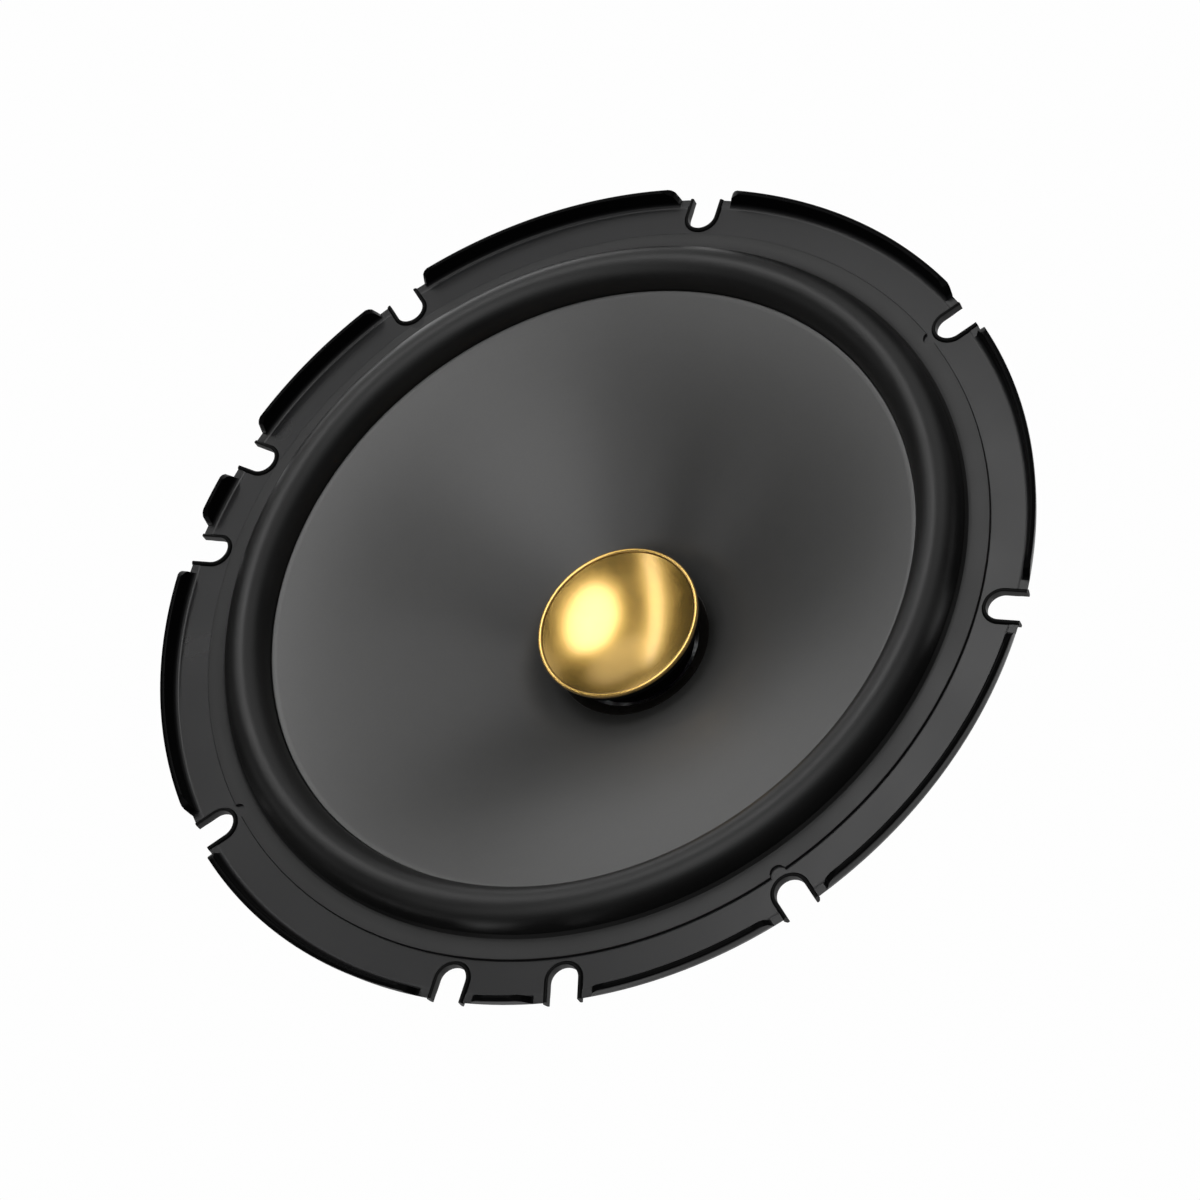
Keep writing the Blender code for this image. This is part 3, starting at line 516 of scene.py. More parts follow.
# The turned-up edge is painted darker than the flange as painted shade, and made duller: heights between
# which the paint changes
LIP_SHADE_FADE = ((FLANGE_FRONT + 0.1) * MM, (FLANGE_FRONT + 0.9) * MM)


def fill(material, node, values):
    """Set a node's inputs: another node's output is linked, anything else is a fixed value."""
    for socket, value in values.items():
        if isinstance(value, bpy.types.NodeSocket):
            material.node_tree.links.new(value, node.inputs[socket])
        else:
            node.inputs[socket].default_value = value


def fill_shader(material, values):
    fill(material, material.node_tree.nodes["Principled BSDF"], values)


def add_node(material, kind, values=None, **settings):
    node = material.node_tree.nodes.new("ShaderNode" + kind)
    for name, value in settings.items():
        setattr(node, name, value)
    fill(material, node, values or {})
    return node


def grey(value):
    return (value, value, value)


def new_material(name, color, roughness, metallic=0.0, specular=0.5):
    material = bpy.data.materials.new(name)
    material.use_nodes = True
    material.diffuse_color = (*color, 1.0)
    fill_shader(material, {"Base Color": (*color, 1.0), "Roughness": roughness})
    fill_shader(material, {"Metallic": metallic, "Specular IOR Level": specular})
    return material


def stretched(material, vector, stretch):
    return add_node(material, "Mapping", {"Vector": vector, "Scale": stretch}).outputs["Vector"]


def object_coordinates(material, stretch=(1.0, 1.0, 1.0)):
    return stretched(material, add_node(material, "TexCoord").outputs["Object"], stretch)


def polar_coordinates(material, stretch):
    """(radius, angle, height) about the Z axis, stretched."""
    coordinates = add_node(material, "TexCoord").outputs["Object"]
    split = add_node(material, "SeparateXYZ", {"Vector": coordinates}).outputs
    flat = add_node(material, "CombineXYZ", {"X": split["X"], "Y": split["Y"]}).outputs["Vector"]
    radius = add_node(material, "VectorMath", {0: flat}, operation="LENGTH").outputs["Value"]
    angle = add_node(material, "Math", {0: split["Y"], 1: split["X"]}, operation="ARCTAN2").outputs["Value"]
    polar = add_node(material, "CombineXYZ", {"X": radius, "Y": angle, "Z": split["Z"]}).outputs["Vector"]
    return stretched(material, polar, stretch)


def noise(material, vector, scale, detail=3.0, roughness=0.5):
    values = {"Vector": vector, "Scale": scale, "Detail": detail, "Roughness": roughness}
    return add_node(material, "TexNoise", values).outputs["Fac"]


def bands(material, direction, vector, scale, more=None):
    """Soft stripes: threads of a weave, or turns of wire."""
    values = {"Vector": vector, "Scale": scale, **(more or {})}
    wave = add_node(material, "TexWave", values, wave_type="BANDS", bands_direction=direction)
    return wave.outputs["Fac"]


def remap(material, value, from_low, from_high, to_low, to_high):
    span = {"From Min": from_low, "From Max": from_high, "To Min": to_low, "To Max": to_high}
    return add_node(material, "MapRange", {"Value": value, **span}).outputs["Result"]


def mixed(material, first, second, share):
    values = {"Factor": share, "A": first, "B": second}
    return add_node(material, "Mix", values, data_type="FLOAT").outputs["Result"]


def vary_roughness(material, value, low, high):
    fill_shader(material, {"Roughness": remap(material, value, NOISE_LOW, NOISE_HIGH, low, high)})


def vary_color(material, value, dark, light, low=NOISE_LOW, high=NOISE_HIGH):
    node = add_node(material, "ValToRGB", {"Fac": value})
    for element, position, color in zip(node.color_ramp.elements, (low, high), (dark, light)):
        element.position = position
        element.color = (*color, 1.0)
    fill_shader(material, {"Base Color": node.outputs["Color"]})
    return node.outputs["Color"]


def bump(material, value, strength, depth_mm):
    values = {"Height": value, "Strength": strength, "Distance": depth_mm * MM}
    fill_shader(material, {"Normal": add_node(material, "Bump", values).outputs["Normal"]})


def speckled(name, dark, light, roughness, grain, specular=0.5, bump_mm=0.01, strength=0.3):
    """A moulded, painted or sintered surface: fine grain in colour, roughness and bump."""
    material = new_material(name, light, roughness, specular=specular)
    coordinates = object_coordinates(material)
    fine = noise(material, coordinates, grain, 4.0, 0.6)
    broad = noise(material, coordinates, grain / 14.0)
    vary_color(material, mixed(material, fine, broad, 0.45), dark, light)
    vary_roughness(material, broad, roughness - 0.06, roughness + 0.06)
    bump(material, fine, strength, bump_mm)
    return material


def turned_metal(name, color, dark, roughness, grain=900.0):
    """Plated steel with fine concentric marks and slight clouding."""
    material = new_material(name, color, roughness, 1.0)
    rings = noise(material, polar_coordinates(material, (grain, 0.6, grain)), 4.0, 3.0, 0.6)
    clouds = noise(material, object_coordinates(material), 240.0, 5.0)
    vary_color(material, mixed(material, rings, clouds, 0.4), dark, color)
    vary_roughness(material, mixed(material, rings, clouds, 0.3), roughness - 0.08, roughness + 0.08)
    bump(material, rings, 0.12, 0.01)
    return material


def basket_paint_and_lip_shade():
    """Satin black paint on the stamping; the turned-up edge is painted darker as painted shade, and duller.
    """
    material = new_material("basket_paint_and_lip_shade", (0.018, 0.018, 0.019), 0.3)
    coordinates = object_coordinates(material)
    peel = noise(material, coordinates, 1500.0)
    clouds = noise(material, coordinates, 60.0, 4.0)
    height = add_node(material, "SeparateXYZ", {"Vector": coordinates}).outputs["Z"]
    flange_color = vary_color(material, clouds, (0.016, 0.016, 0.017), (0.020, 0.020, 0.021))
    # Painted shade: the colour darkens to near black on the turned-up edge above the flange
    edge = remap(material, height, *LIP_SHADE_FADE, 0.0, 1.0)
    values = {"Factor": edge, "A": flange_color, "B": (0.004, 0.004, 0.0042, 1.0)}
    darkened = add_node(material, "Mix", values, data_type="RGBA")
    fill_shader(material, {"Base Color": darkened.outputs["Result"]})
    fill_shader(material, {"Specular IOR Level": remap(material, height, *LIP_SHADE_FADE, 0.5, 0.04)})
    vary_roughness(material, clouds, 0.27, 0.33)
    bump(material, peel, 0.1, 0.01)
    return material


def surround_rubber():
    """Butyl rubber: black, satin, with a fine moulded grain."""
    material = new_material("surround_rubber", grey(0.010), 0.42, specular=0.75)
    coordinates = object_coordinates(material)
    grain = noise(material, coordinates, 1800.0, 4.0, 0.6)
    broad = noise(material, coordinates, 70.0)
    vary_color(material, broad, grey(0.008), grey(0.012))
    vary_roughness(material, broad, 0.39, 0.45)
    bump(material, grain, 0.15, 0.012)
    return material


def cone_composite():
    """Fibre-filled cone: faint fibres, and fine mould rings that draw the gloss out along the radius."""
    material = new_material("cone_fibre", (0.08, 0.08, 0.078), 0.38, specular=1.0)
    along = add_node(material, "Tangent", direction_type="RADIAL", axis="Z").outputs["Tangent"]
    fill_shader(material, {"IOR": 1.62, "Anisotropic": 0.5, "Anisotropic Rotation": 0.25, "Tangent": along})
    fibres = noise(material, object_coordinates(material, (1.0, 1.0, 1.6)), 2300.0, 5.0, 0.65)
    swirl = noise(material, polar_coordinates(material, (160.0, 5.0, 160.0)), 2.0, 4.0, 0.6)
    broad = noise(material, object_coordinates(material), 45.0)
    tone = mixed(material, mixed(material, fibres, swirl, 0.4), broad, 0.3)
    vary_color(material, tone, (0.072, 0.072, 0.070), (0.086, 0.086, 0.084), 0.35, 0.65)
    vary_roughness(material, tone, 0.38, 0.42)
    bump(material, fibres, 0.12, 0.015)
    return material


def woven_cloth():
    """Resin-dipped cotton: two crossed sets of threads over a golden-brown cloth."""
    material = new_material("woven_cloth", (0.42, 0.28, 0.1), 0.85, specular=0.3)
    coordinates = object_coordinates(material)
    uneven = {"Distortion": 1.2, "Detail": 2.0}
    warp, weft = [bands(material, direction, coordinates, 420.0, uneven) for direction in ("X", "Y")]
    weave = mixed(material, warp, weft, 0.5)
    # The darker colour between the threads is painted shade
    vary_color(material, weave, (0.26, 0.16, 0.05), (0.5, 0.35, 0.14), 0.2, 0.8)
    bump(material, weave, 0.6, 0.12)
    return material


def gold_metal(name, roughness):
    """Anodised gold: satin, with very fine spun marks under a clear, smoother lacquer."""
    material = new_material(name, (0.95, 0.59, 0.14), roughness, 1.0)
    fill_shader(material, {"Coat Weight": 0.8, "Coat IOR": 1.8, "Coat Roughness": 0.14})
    spun = noise(material, polar_coordinates(material, (2600.0, 1.5, 2600.0)), 3.0)
    clouds = noise(material, object_coordinates(material), 120.0)
    vary_color(material, clouds, (0.91, 0.56, 0.12), (0.99, 0.62, 0.15))
    vary_roughness(material, mixed(material, spun, clouds, 0.4), roughness - 0.04, roughness + 0.04)
    bump(material, spun, 0.03, 0.002)
    return material


def painted_gap_shade(color):
    """The tone of a colour between threads or turns: painted shade, darker than the threads."""
    return tuple(0.35 * part for part in color)


def wound_wire(name, color, pitch_mm, roughness):
    """Turns of enamelled wire lying one above the other."""
    material = new_material(name, color, roughness, 1.0)
    turns = bands(material, "Z", object_coordinates(material), BAND_PITCH / (pitch_mm * MM))
    vary_color(material, turns, painted_gap_shade(color), color, 0.1, 0.6)
    bump(material, turns, 0.8, 0.08)
    return material


def braided(name, color, pitch_mm):
    """Fine braid: two diagonal sets of strands."""
    material = new_material(name, color, 0.42, 0.8)
    strands = []
    for lean in (1.0, -1.0):
        coordinates = object_coordinates(material, (lean, 1.0, 1.0))
        strands.append(bands(material, "DIAGONAL", coordinates, BAND_PITCH / (pitch_mm * MM)))
    weave = mixed(material, *strands, 0.5)
    vary_color(material, weave, painted_gap_shade(color), color, 0.2, 0.7)
    bump(material, weave, 0.8, 0.1)
    return material


def make_materials():
    made = [
        basket_paint_and_lip_shade(),
        surround_rubber(),
        cone_composite(),
        woven_cloth(),
        gold_metal("gold_dish", 0.21),
        gold_metal("gold_rim", 0.18),
        wound_wire("enamelled_wire", (0.72, 0.3, 0.12), 0.3, 0.35),
        braided("copper_braid", (0.62, 0.45, 0.3), 0.35),
        turned_metal("zinc_plate", (0.62, 0.63, 0.64), (0.46, 0.48, 0.5), 0.36),
        turned_metal("bright_steel", (0.75, 0.75, 0.76), (0.6, 0.6, 0.62), 0.28),
        turned_metal("tin_plate", (0.78, 0.74, 0.66), (0.66, 0.6, 0.5), 0.3, 500.0),
        turned_metal("eyelet_brass", (0.75, 0.56, 0.25), (0.6, 0.42, 0.18), 0.32, 500.0),
        # The slot hems' near-black colour, darker than the basket paint, is painted shade
        speckled("hem_painted_shade", grey(0.003), grey(0.006), 0.5, 1500.0, specular=0.15),
        speckled("cup_plastic", grey(0.006), grey(0.01), 0.55, 1400.0, specular=0.12),
        speckled("sintered_ferrite", (0.022, 0.022, 0.024), (0.05, 0.05, 0.053), 0.62, 1100.0,
                 bump_mm=0.05, strength=0.5),
        # The coil former's near-black colour is painted shade in the gap round the cone's neck
        speckled("coil_former", (0.012, 0.010, 0.008), (0.024, 0.02, 0.016), 0.35, 700.0),
        speckled("phenolic_board", grey(0.012), grey(0.024), 0.55, 1600.0, bump_mm=0.03),
        speckled("blue_sleeve", (0.012, 0.02, 0.1), (0.02, 0.035, 0.15), 0.3, 300.0, bump_mm=0.02),
        speckled("red_vinyl", (0.3, 0.01, 0.01), (0.42, 0.025, 0.02), 0.42, 900.0),
        speckled("black_vinyl", grey(0.008), grey(0.016), 0.42, 900.0),
        speckled("rubber_cement", (0.01, 0.009, 0.008), (0.03, 0.027, 0.024), 0.3, 500.0, bump_mm=0.08),
        speckled("film_edge", (0.012, 0.01, 0.008), (0.03, 0.024, 0.018), 0.55, 900.0, specular=0.15),
    ]
    return {material.name: material for material in made}


MATERIALS = make_materials()


# ---- placing pieces

def cover(piece, material):
    piece.data.materials.clear()
    piece.data.materials.append(MATERIALS[material])


def place(piece, material, node=None, body="chassis"):
    """Give a finished piece its material and its body, and hide the CAD node that it stands for."""
    cover(piece, material)
    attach(piece, body)
    if node:
        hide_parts(node)


def place_between(piece, material, node):
    """A piece that flexes on the real loudspeaker between the still chassis round it and a moving body inside
    it; here it gets its material, its placing baked into its mesh, and its CAD node hidden.
    """
    cover(piece, material)
    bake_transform(piece)
    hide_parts(node)


# ---- basket

def basket_line():
    corners = [
        (LIP_TOP_RADIUS, LIP_TOP - 0.1),
        (LIP_ROOT_RADIUS, FLANGE_FRONT - SHEET / 2),
        (FLANGE_INNER_RADIUS, FLANGE_FRONT - SHEET / 2),
        WALL_FOOT,
        (LEDGE_OUTER_RADIUS, LEDGE_HEIGHT),
        (LEDGE_INNER_RADIUS, LEDGE_HEIGHT),
        (FLOOR_OUTER_RADIUS, FLOOR_HEIGHT),
        (FLOOR_INNER_RADIUS, FLOOR_HEIGHT),
    ]
    return rounded_line(corners, BASKET_BEND)


def slot_cutter(angle):
    """A U open outwards: straight sides, and a round end about the pitch circle."""
    far = SLOT_PITCH_RADIUS + 10.0
    outline = [(far, -SLOT_HALF_WIDTH), (far, SLOT_HALF_WIDTH)]
    for x, y in arc(90, 270, 20):
        outline.append((SLOT_PITCH_RADIUS + x * SLOT_HALF_WIDTH, y * SLOT_HALF_WIDTH))
    return turned(prism(f"slot_{angle}", outline, FLANGE_REAR - 3, LIP_TOP + 2), angle)


def lip_gap_cutter(angle):
    """A wedge, wider at its top, that ends the turned-up edge on both sides of a slot with a chamfer."""
    inner, outer = LIP_ROOT_RADIUS - 3.0, LIP_TOP_RADIUS + 3.0
    levels = (
        (FLANGE_FRONT + 0.12, LIP_GAP_ROOT_ANGLE),
        (LIP_TOP - 0.75, LIP_GAP_TOP_ANGLE - 0.35),
        (LIP_TOP - 0.3, LIP_GAP_TOP_ANGLE),
        (LIP_TOP + 0.6, LIP_GAP_TOP_ANGLE + 1.2),
    )
    sections = []
    for height, spread in levels:
        half = LIP_TOP_RADIUS * math.tan(math.radians(spread))
        sections.append([(*corner, height) for corner in rectangle(inner, outer, -half, half)])
    return turned(loft(f"lip_gap_{angle}", sections), angle)


def window_cutter(angle, steps=40):
    """An opening between two spokes, with rounded corners, cut through the sloping wall."""
    inner, outer = LEDGE_OUTER_RADIUS - 1.5, WALL_FOOT[0] + 3.0
    middle = (inner + outer) / 2
    corner_angle = math.degrees(WINDOW_CORNER / middle)
    sections = []
    for step in range(steps + 1):
        turn = WINDOW_HALF_ANGLE * math.sin(math.pi / 2 * (2 * step / steps - 1))
        into = max(0.0, abs(turn) - (WINDOW_HALF_ANGLE - corner_angle)) / corner_angle
        rise = WINDOW_CORNER * (1 - math.sqrt(max(0.0, 1 - min(into, 0.999) ** 2)))
        low, high = WINDOW_BOTTOM + rise, WINDOW_TOP - rise
        near, far = on_circle(inner, angle + turn), on_circle(outer, angle + turn)
        sections.append([(*near, low), (*far, low), (*far, high), (*near, high)])
    return loft(f"window_{angle}", sections)


def bore_cutter(name, radius, x, y, low, high):
    profile = [(0, high), (radius, high), (radius, low), (0, low)]
    cutter = lathe(name, profile, TINY_STEPS)
    cutter.location = (x * MM, y * MM, 0)
    return cutter


def make_basket():
    shell = lathe("basket_shell", sheet_loop(basket_line(), SHEET))
    carve(shell, [lip_gap_cutter(angle) for angle in SLOT_ANGLES])
    cutters = [slot_cutter(angle) for angle in SLOT_ANGLES]
    cutters += [window_cutter(angle) for angle in QUARTER_TURNS]
    carve(shell, cutters)
    weigh_normals(shell)
    place(shell, "basket_paint_and_lip_shade", "basket")
    rims = join("slot_rims", [make_slot_rim(angle) for angle in SLOT_ANGLES])
    place(rims, "hem_painted_shade")


def make_slot_rim(angle):
    """The rounded hem of the sheet along one slot, standing a little above the flange, painted near-black as
    painted shade.
    """
    inset, half = HEM_END_RADIUS - 1.2, SLOT_HALF_WIDTH
    path = [(HEM_END_RADIUS, half, (0, 1)), (inset, half, (0, 1))]
    for x, y in arc(90, 270, 24):
        path.append((SLOT_PITCH_RADIUS + x * half, y * half, (x, y)))
    path += [(inset, -half, (0, -1)), (HEM_END_RADIUS, -half, (0, -1))]
    crest, foot = FLANGE_FRONT + HEM_RISE, FLANGE_REAR - SEAM
    section = rounded_loop([
        (-0.03, foot), (-0.03, crest), (HEM_WIDTH * 0.6, crest - 0.02), (HEM_WIDTH, FLANGE_FRONT - 0.1),
        (HEM_WIDTH * 0.5, foot),
    ], 0.28)
    sections = []
    for x, y, away in path:
        sections.append([(x + away[0] * out, y + away[1] * out, height) for out, height in section])
    return turned(loft(f"slot_rim_{angle}", sections), angle)


# ---- cone assembly

def make_cone(steps=56):
    line = []
    for step in range(steps + 1):
        radius = CONE_EDGE[0] + (CONE_NECK[0] + 0.1 - CONE_EDGE[0]) * step / steps
        line.append(Vector((radius, cone_front(radius))) - cone_normal(radius) * CONE_SHEET / 2)
    shell = lathe("cone_shell", sheet_loop(line, CONE_SHEET))
    place(shell, "cone_fibre", "cone", "cone_assembly")
    inside = FORMER_RADIUS - 0.35
    # A glue bead at the neck, made dark so that it also stands for the shade in the gap under the tweeter cup
    bead = turned_solid("neck_glue", [
        (FORMER_RADIUS + 2.0, cone_front(FORMER_RADIUS + 2.2) + 0.05),
        (FORMER_RADIUS + 0.4, cone_front(FORMER_RADIUS + 0.3) - 1.4),
        (inside, FORMER_TOP - 1.5), (inside, FORMER_TOP + 0.15), (FORMER_RADIUS + 0.1, FORMER_TOP + 0.15),
    ], 0.3, 4, STEPS)
    place(bead, "rubber_cement", body="cone_assembly")


def surround_line():
    """The bonding ring, the half roll, and the landing under the cone's edge."""
    landing = FLANGE_FRONT + SURROUND_SHEET / 2 + SEAM
    height = ROLL_CREST - landing - SURROUND_SHEET / 2
    line = [(RING_RADIUS - 0.1, landing), (RING_RADIUS - 1.5, landing)]
    line += [(ROLL_FOOT_RADIUS + 0.7, landing), (ROLL_FOOT_RADIUS, landing + 0.15)]
    for x, z in arc(0, 180, 40)[2:-2]:
        line.append((ROLL_CENTRE_RADIUS + ROLL_HALF_WIDTH * x, landing + height * z))
    below = CONE_SHEET + 0.35
    foot = ROLL_CENTRE_RADIUS - ROLL_HALF_WIDTH
    edge = cone_front(CONE_EDGE[0]) - below
    line += [(foot + 0.02, landing + 0.1), (foot, edge + 0.3), (foot - 0.35, edge)]
    for share in (0.3, 0.6, 1.0):
        radius = CONE_EDGE[0] + (SURROUND_INNER_RADIUS - CONE_EDGE[0]) * share
        line.append((radius, cone_front(radius) - below))
    return line


def make_surround():
    piece = lathe("surround_roll", sheet_loop(surround_line(), SURROUND_SHEET))
    span = (FLANGE_FRONT - 1.0, FLANGE_FRONT + 1.5)
    cutters = []
    for angle in QUARTER_TURNS:
        middle = on_circle(RING_RADIUS + 0.1, angle)
        cutters.append(bore_cutter(f"relief_{angle}", RELIEF_RADIUS, *middle, *span))
    carve(piece, cutters)
    weigh_normals(piece)
    place_between(piece, "surround_rubber", "surround")


def spider_line():
    """A flat landing on the ledge, round corrugations, and a flat collar at the former."""
    start = SPIDER_RADIUS - SPIDER_LANDING
    line = [(SPIDER_RADIUS, SPIDER_HEIGHT - 0.2), (start + 1.2, SPIDER_HEIGHT - 0.2)]
    steps = SPIDER_WAVES * 12
    for step in range(steps + 1):
        share = step / steps
        fade = min(1.0, 8 * share, 8 * (1 - share))
        wave = math.sin(share * SPIDER_WAVES * math.tau) * SPIDER_WAVE_HEIGHT * fade
        line.append((start + (SPIDER_WAVE_END - start) * share, SPIDER_HEIGHT + wave))
    return line + [(SPIDER_NECK, SPIDER_HEIGHT), (FORMER_RADIUS + 0.15, SPIDER_HEIGHT)]


def make_spider():
    piece = lathe("spider_disc", sheet_loop(spider_line(), SPIDER_SHEET), MIDDLE_STEPS)
    place_between(piece, "woven_cloth", "spider")
    foot = LEDGE_HEIGHT + SHEET / 2 - 0.05
    bead = turned_solid("spider_glue", [
        (SPIDER_RADIUS + 1.0, foot), (SPIDER_RADIUS - 1.6, foot), (SPIDER_RADIUS - 1.6, SPIDER_HEIGHT + 0.1),
        (SPIDER_RADIUS + 0.2, SPIDER_HEIGHT + 0.15),
    ], 0.4, 4)
    place(bead, "rubber_cement")


def make_voice_coil():
    foot, inner = bottom("voice_coil_former"), FORMER_RADIUS - 0.3
    # The former's near-black colour is painted shade in the gap round the cone's neck
    former = plain_ring("former_tube", inner, FORMER_RADIUS, foot, FORMER_TOP, 0.08)
    place(former, "coil_former", "voice_coil_former", "cone_assembly")
    low, high = bottom("voice_coil"), top("voice_coil")
    winding = plain_ring("coil_winding", FORMER_RADIUS, reach("voice_coil"), low, high, 0.12)
    place(winding, "enamelled_wire", "voice_coil", "cone_assembly")


# ---- magnet system

def make_motor():
    back_top = bottom("magnet") - GLUE_GAP
    yoke = turned_solid("yoke_body", [
        (POLE_RADIUS, top("yoke")), (POLE_RADIUS, back_top), (YOKE_RADIUS, back_top), (YOKE_RADIUS, 0.0),
        (RECESS_RADIUS, 0.0), (RECESS_RADIUS, RECESS_DEPTH), (POLE_BORE, RECESS_DEPTH),
        (POLE_BORE, top("yoke")),
    ], 0.6)
    groove = rectangle(-GROOVE_HALF_WIDTH, GROOVE_HALF_WIDTH, GROOVE_START, YOKE_RADIUS + 3)
    carve(yoke, [prism("groove", groove, -1.0, GROOVE_DEPTH)])
    weigh_normals(yoke)
    place(yoke, "zinc_plate", "yoke")

    low, high = back_top + SEAM, PLATE_BOTTOM - SEAM
    magnet = plain_ring("ferrite_ring", MAGNET_BORE, MAGNET_RADIUS, low, high, 0.7)
    place(magnet, "sintered_ferrite", "magnet")

    plate = plain_ring("front_plate", PLATE_BORE, YOKE_RADIUS, PLATE_BOTTOM, PLATE_TOP - SEAM, 0.5)
    place(plate, "zinc_plate", "top_plate")

    outer, inner = YOKE_RADIUS + 0.6, YOKE_RADIUS - 0.65
    for name, height in (("magnet_glue_rear", back_top), ("magnet_glue_front", PLATE_BOTTOM)):
        low, high = height - 0.35, height + 0.35
        bead = turned_solid(name, [(outer, low), (inner, low), (inner, high), (outer, high)], 0.3, 4)
        place(bead, "rubber_cement")


def rivet_profile(shaft, head, low, high, dome):
    """A rivet with a domed head on top of its shaft."""
    brim = high - dome
    profile = [(0.0, high)] + [(head * x, brim + dome * z) for x, z in arc(90, 0, 8)[1:]]
    return profile + [(head, brim - 0.2), (shaft, brim - 0.25), (shaft, low), (0.0, low)]


def place_rivet(name, profile, spot, node):
    rivet = lathe(name, profile, SMALL_STEPS)
    rivet.location = Vector(spot) * MM
    place(rivet, "bright_steel", node)


def make_rivets():
    """Four solid rivets through the basket's floor, and two eyelet rivets through the terminal board."""
    for index in range(4):
        node = f"basket_rivet_{index + 1}"
        profile = rivet_profile(2.0, 3.2, bottom(node), top(node), 0.9)
        spot = (*on_circle(BASKET_RIVET_CIRCLE, 45 + 90 * index), -GLUE_GAP)
        place_rivet(f"plate_rivet_{index + 1}", profile, spot, node)
    for index, side in enumerate((-1, 1)):
        node = f"board_rivet_{index + 1}"
        low = bottom(node)
        profile = rivet_profile(1.3, 2.2, low + 0.8, top(node), 0.7)[:-1]
        profile += [(1.3, low + 0.8), (2.1, low + 0.75), (2.0, low + 0.3), (0.9, low + 0.2)]
        profile += [(0.7, low + 0.7), (0.0, low + 0.7)]
        spot = (side * BOARD_RIVET[0], BOARD_RIVET[1], 0)
        place_rivet(f"terminal_rivet_{index + 1}", profile, spot, node)


def make_post():
    low, seat = bottom("tweeter_post"), top("tweeter_post")
    post = turned_solid("hollow_stud", [
        (POST_SEAT_RADIUS, seat), (POST_SEAT_RADIUS, seat - 1.0), (POST_RADIUS, seat - 1.0),
        (POST_RADIUS, low), (POST_BORE, low), (POST_BORE, seat),
    ], 0.25, 3, SMALL_STEPS)
    place(post, "bright_steel", "tweeter_post")
    low, high = bottom("post_nut"), top("post_nut")
    outline = rounded_loop([on_circle(NUT_RADIUS, 60 * index) for index in range(6)], 0.35, 3)
    nut = prism("lock_nut", outline, low, high, 0.35)
    carve(nut, [bore_cutter("nut_bore", POST_RADIUS + 0.05, 0, 0, low - 1, high + 1)])
    place(nut, "bright_steel", "post_nut")


# ---- tweeter

def dish_height(radius):
    return DISH_RIM - DISH_DEPTH * (1 - (radius / DISH_RADIUS) ** 2)


def make_dish(steps=40):
    radii = [(BEZEL_BORE - 0.03) * step / steps for step in range(steps + 1)]
    profile = [(radius, dish_height(radius)) for radius in radii]
    profile += [(radius, dish_height(radius) - DISH_SHEET) for radius in reversed(radii)]
    dish = lathe("gold_dish", profile, DISH_STEPS)
    place(dish, "gold_dish", "tweeter_diaphragm", "tweeter_dome")


def make_bezel():
    low = BEZEL_BOTTOM - 0.25
    rim = turned_solid("gold_rim", [
        (BEZEL_RADIUS - 0.1, BEZEL_FRONT), (BEZEL_RADIUS, BEZEL_FRONT - 0.4), (BEZEL_RADIUS - 0.1, low),
        (BEZEL_BORE, low), (BEZEL_BORE, BEZEL_FRONT - 0.2), (BEZEL_BORE + 0.2, BEZEL_FRONT),
    ], 0.3, 5, DISH_STEPS)
    place(rim, "gold_rim", "tweeter_bezel")


def make_cup():
    """The cup under the bezel, stepped inside so that the dish can move, with a boss round the magnet."""
    wall_top = BEZEL_BOTTOM - 0.2
    floor = CUP_FLOOR + 0.8
    boss_floor = BOSS_BOTTOM + BOSS_FLOOR
    cup = turned_solid("tweeter_cup", [
        (CUP_RADIUS, wall_top), (CUP_RADIUS, CUP_FLOOR + 0.9), (CUP_RADIUS - CUP_WALL, CUP_FLOOR),
        (BOSS_RADIUS, CUP_FLOOR), (BOSS_RADIUS, BOSS_BOTTOM), (WIRE_HOLE_RADIUS, BOSS_BOTTOM),
        (WIRE_HOLE_RADIUS, boss_floor), (BOSS_BORE, boss_floor), (BOSS_BORE, floor), (CUP_BORE, floor),
        (CUP_BORE, CUP_SEAT), (CUP_STEP_RADIUS, CUP_SEAT), (CUP_STEP_RADIUS, wall_top),
    ], 0.3)
    place(cup, "cup_plastic", "tweeter_housing")


def make_film():
    """The edge film: glued on the cup's step, one small roll, and glued behind the dish."""
    glued = 13.2
    line = [
        (14.75, CUP_SEAT + 0.06), (14.45, CUP_SEAT + 0.06), (14.3, CUP_SEAT + 0.3), (14.05, CUP_SEAT + 0.35),
        (13.8, CUP_SEAT + 0.2), (13.5, CUP_SEAT + 0.3), (glued, dish_height(glued) - DISH_SHEET - 0.06),
    ]
    film = lathe("tweeter_film", sheet_loop(rounded_line(line, 0.15, 3), 0.1), MIDDLE_STEPS)
    place_between(film, "film_edge", "tweeter_suspension")


# Enclosed CAD pieces that keep their meshes, and the finer materials that they get
CAD_SHAPES_KEPT = (
    ("tweeter_pot", "zinc_plate"),
    ("tweeter_magnet", "bright_steel"),
    ("tweeter_plate", "zinc_plate"),
    ("tweeter_voice_coil", "enamelled_wire"),
)


def finish_cad_shapes():
    for node, material in CAD_SHAPES_KEPT:
        cover(frame["nodes"][node], material)


# ---- terminals and wires

def make_board():
    low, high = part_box("terminal_board")
    half = high.x / MM
    outline = rounded_loop(rectangle(-half, half, low.y / MM, high.y / MM), 2.5, 6)
    board = prism("terminal_plate", outline, BOARD_BOTTOM, BOARD_TOP + 0.28, 0.25)
    x, y = BOARD_RIVET
    span = (BOARD_BOTTOM - 3, BOARD_TOP + 3)
    carve(board, [bore_cutter(f"hole_{side}", 1.5, side * x, y, *span) for side in (-1, 1)])
    place(board, "phenolic_board", "terminal_board")
    for blade in BLADES:
        make_blade(*blade)


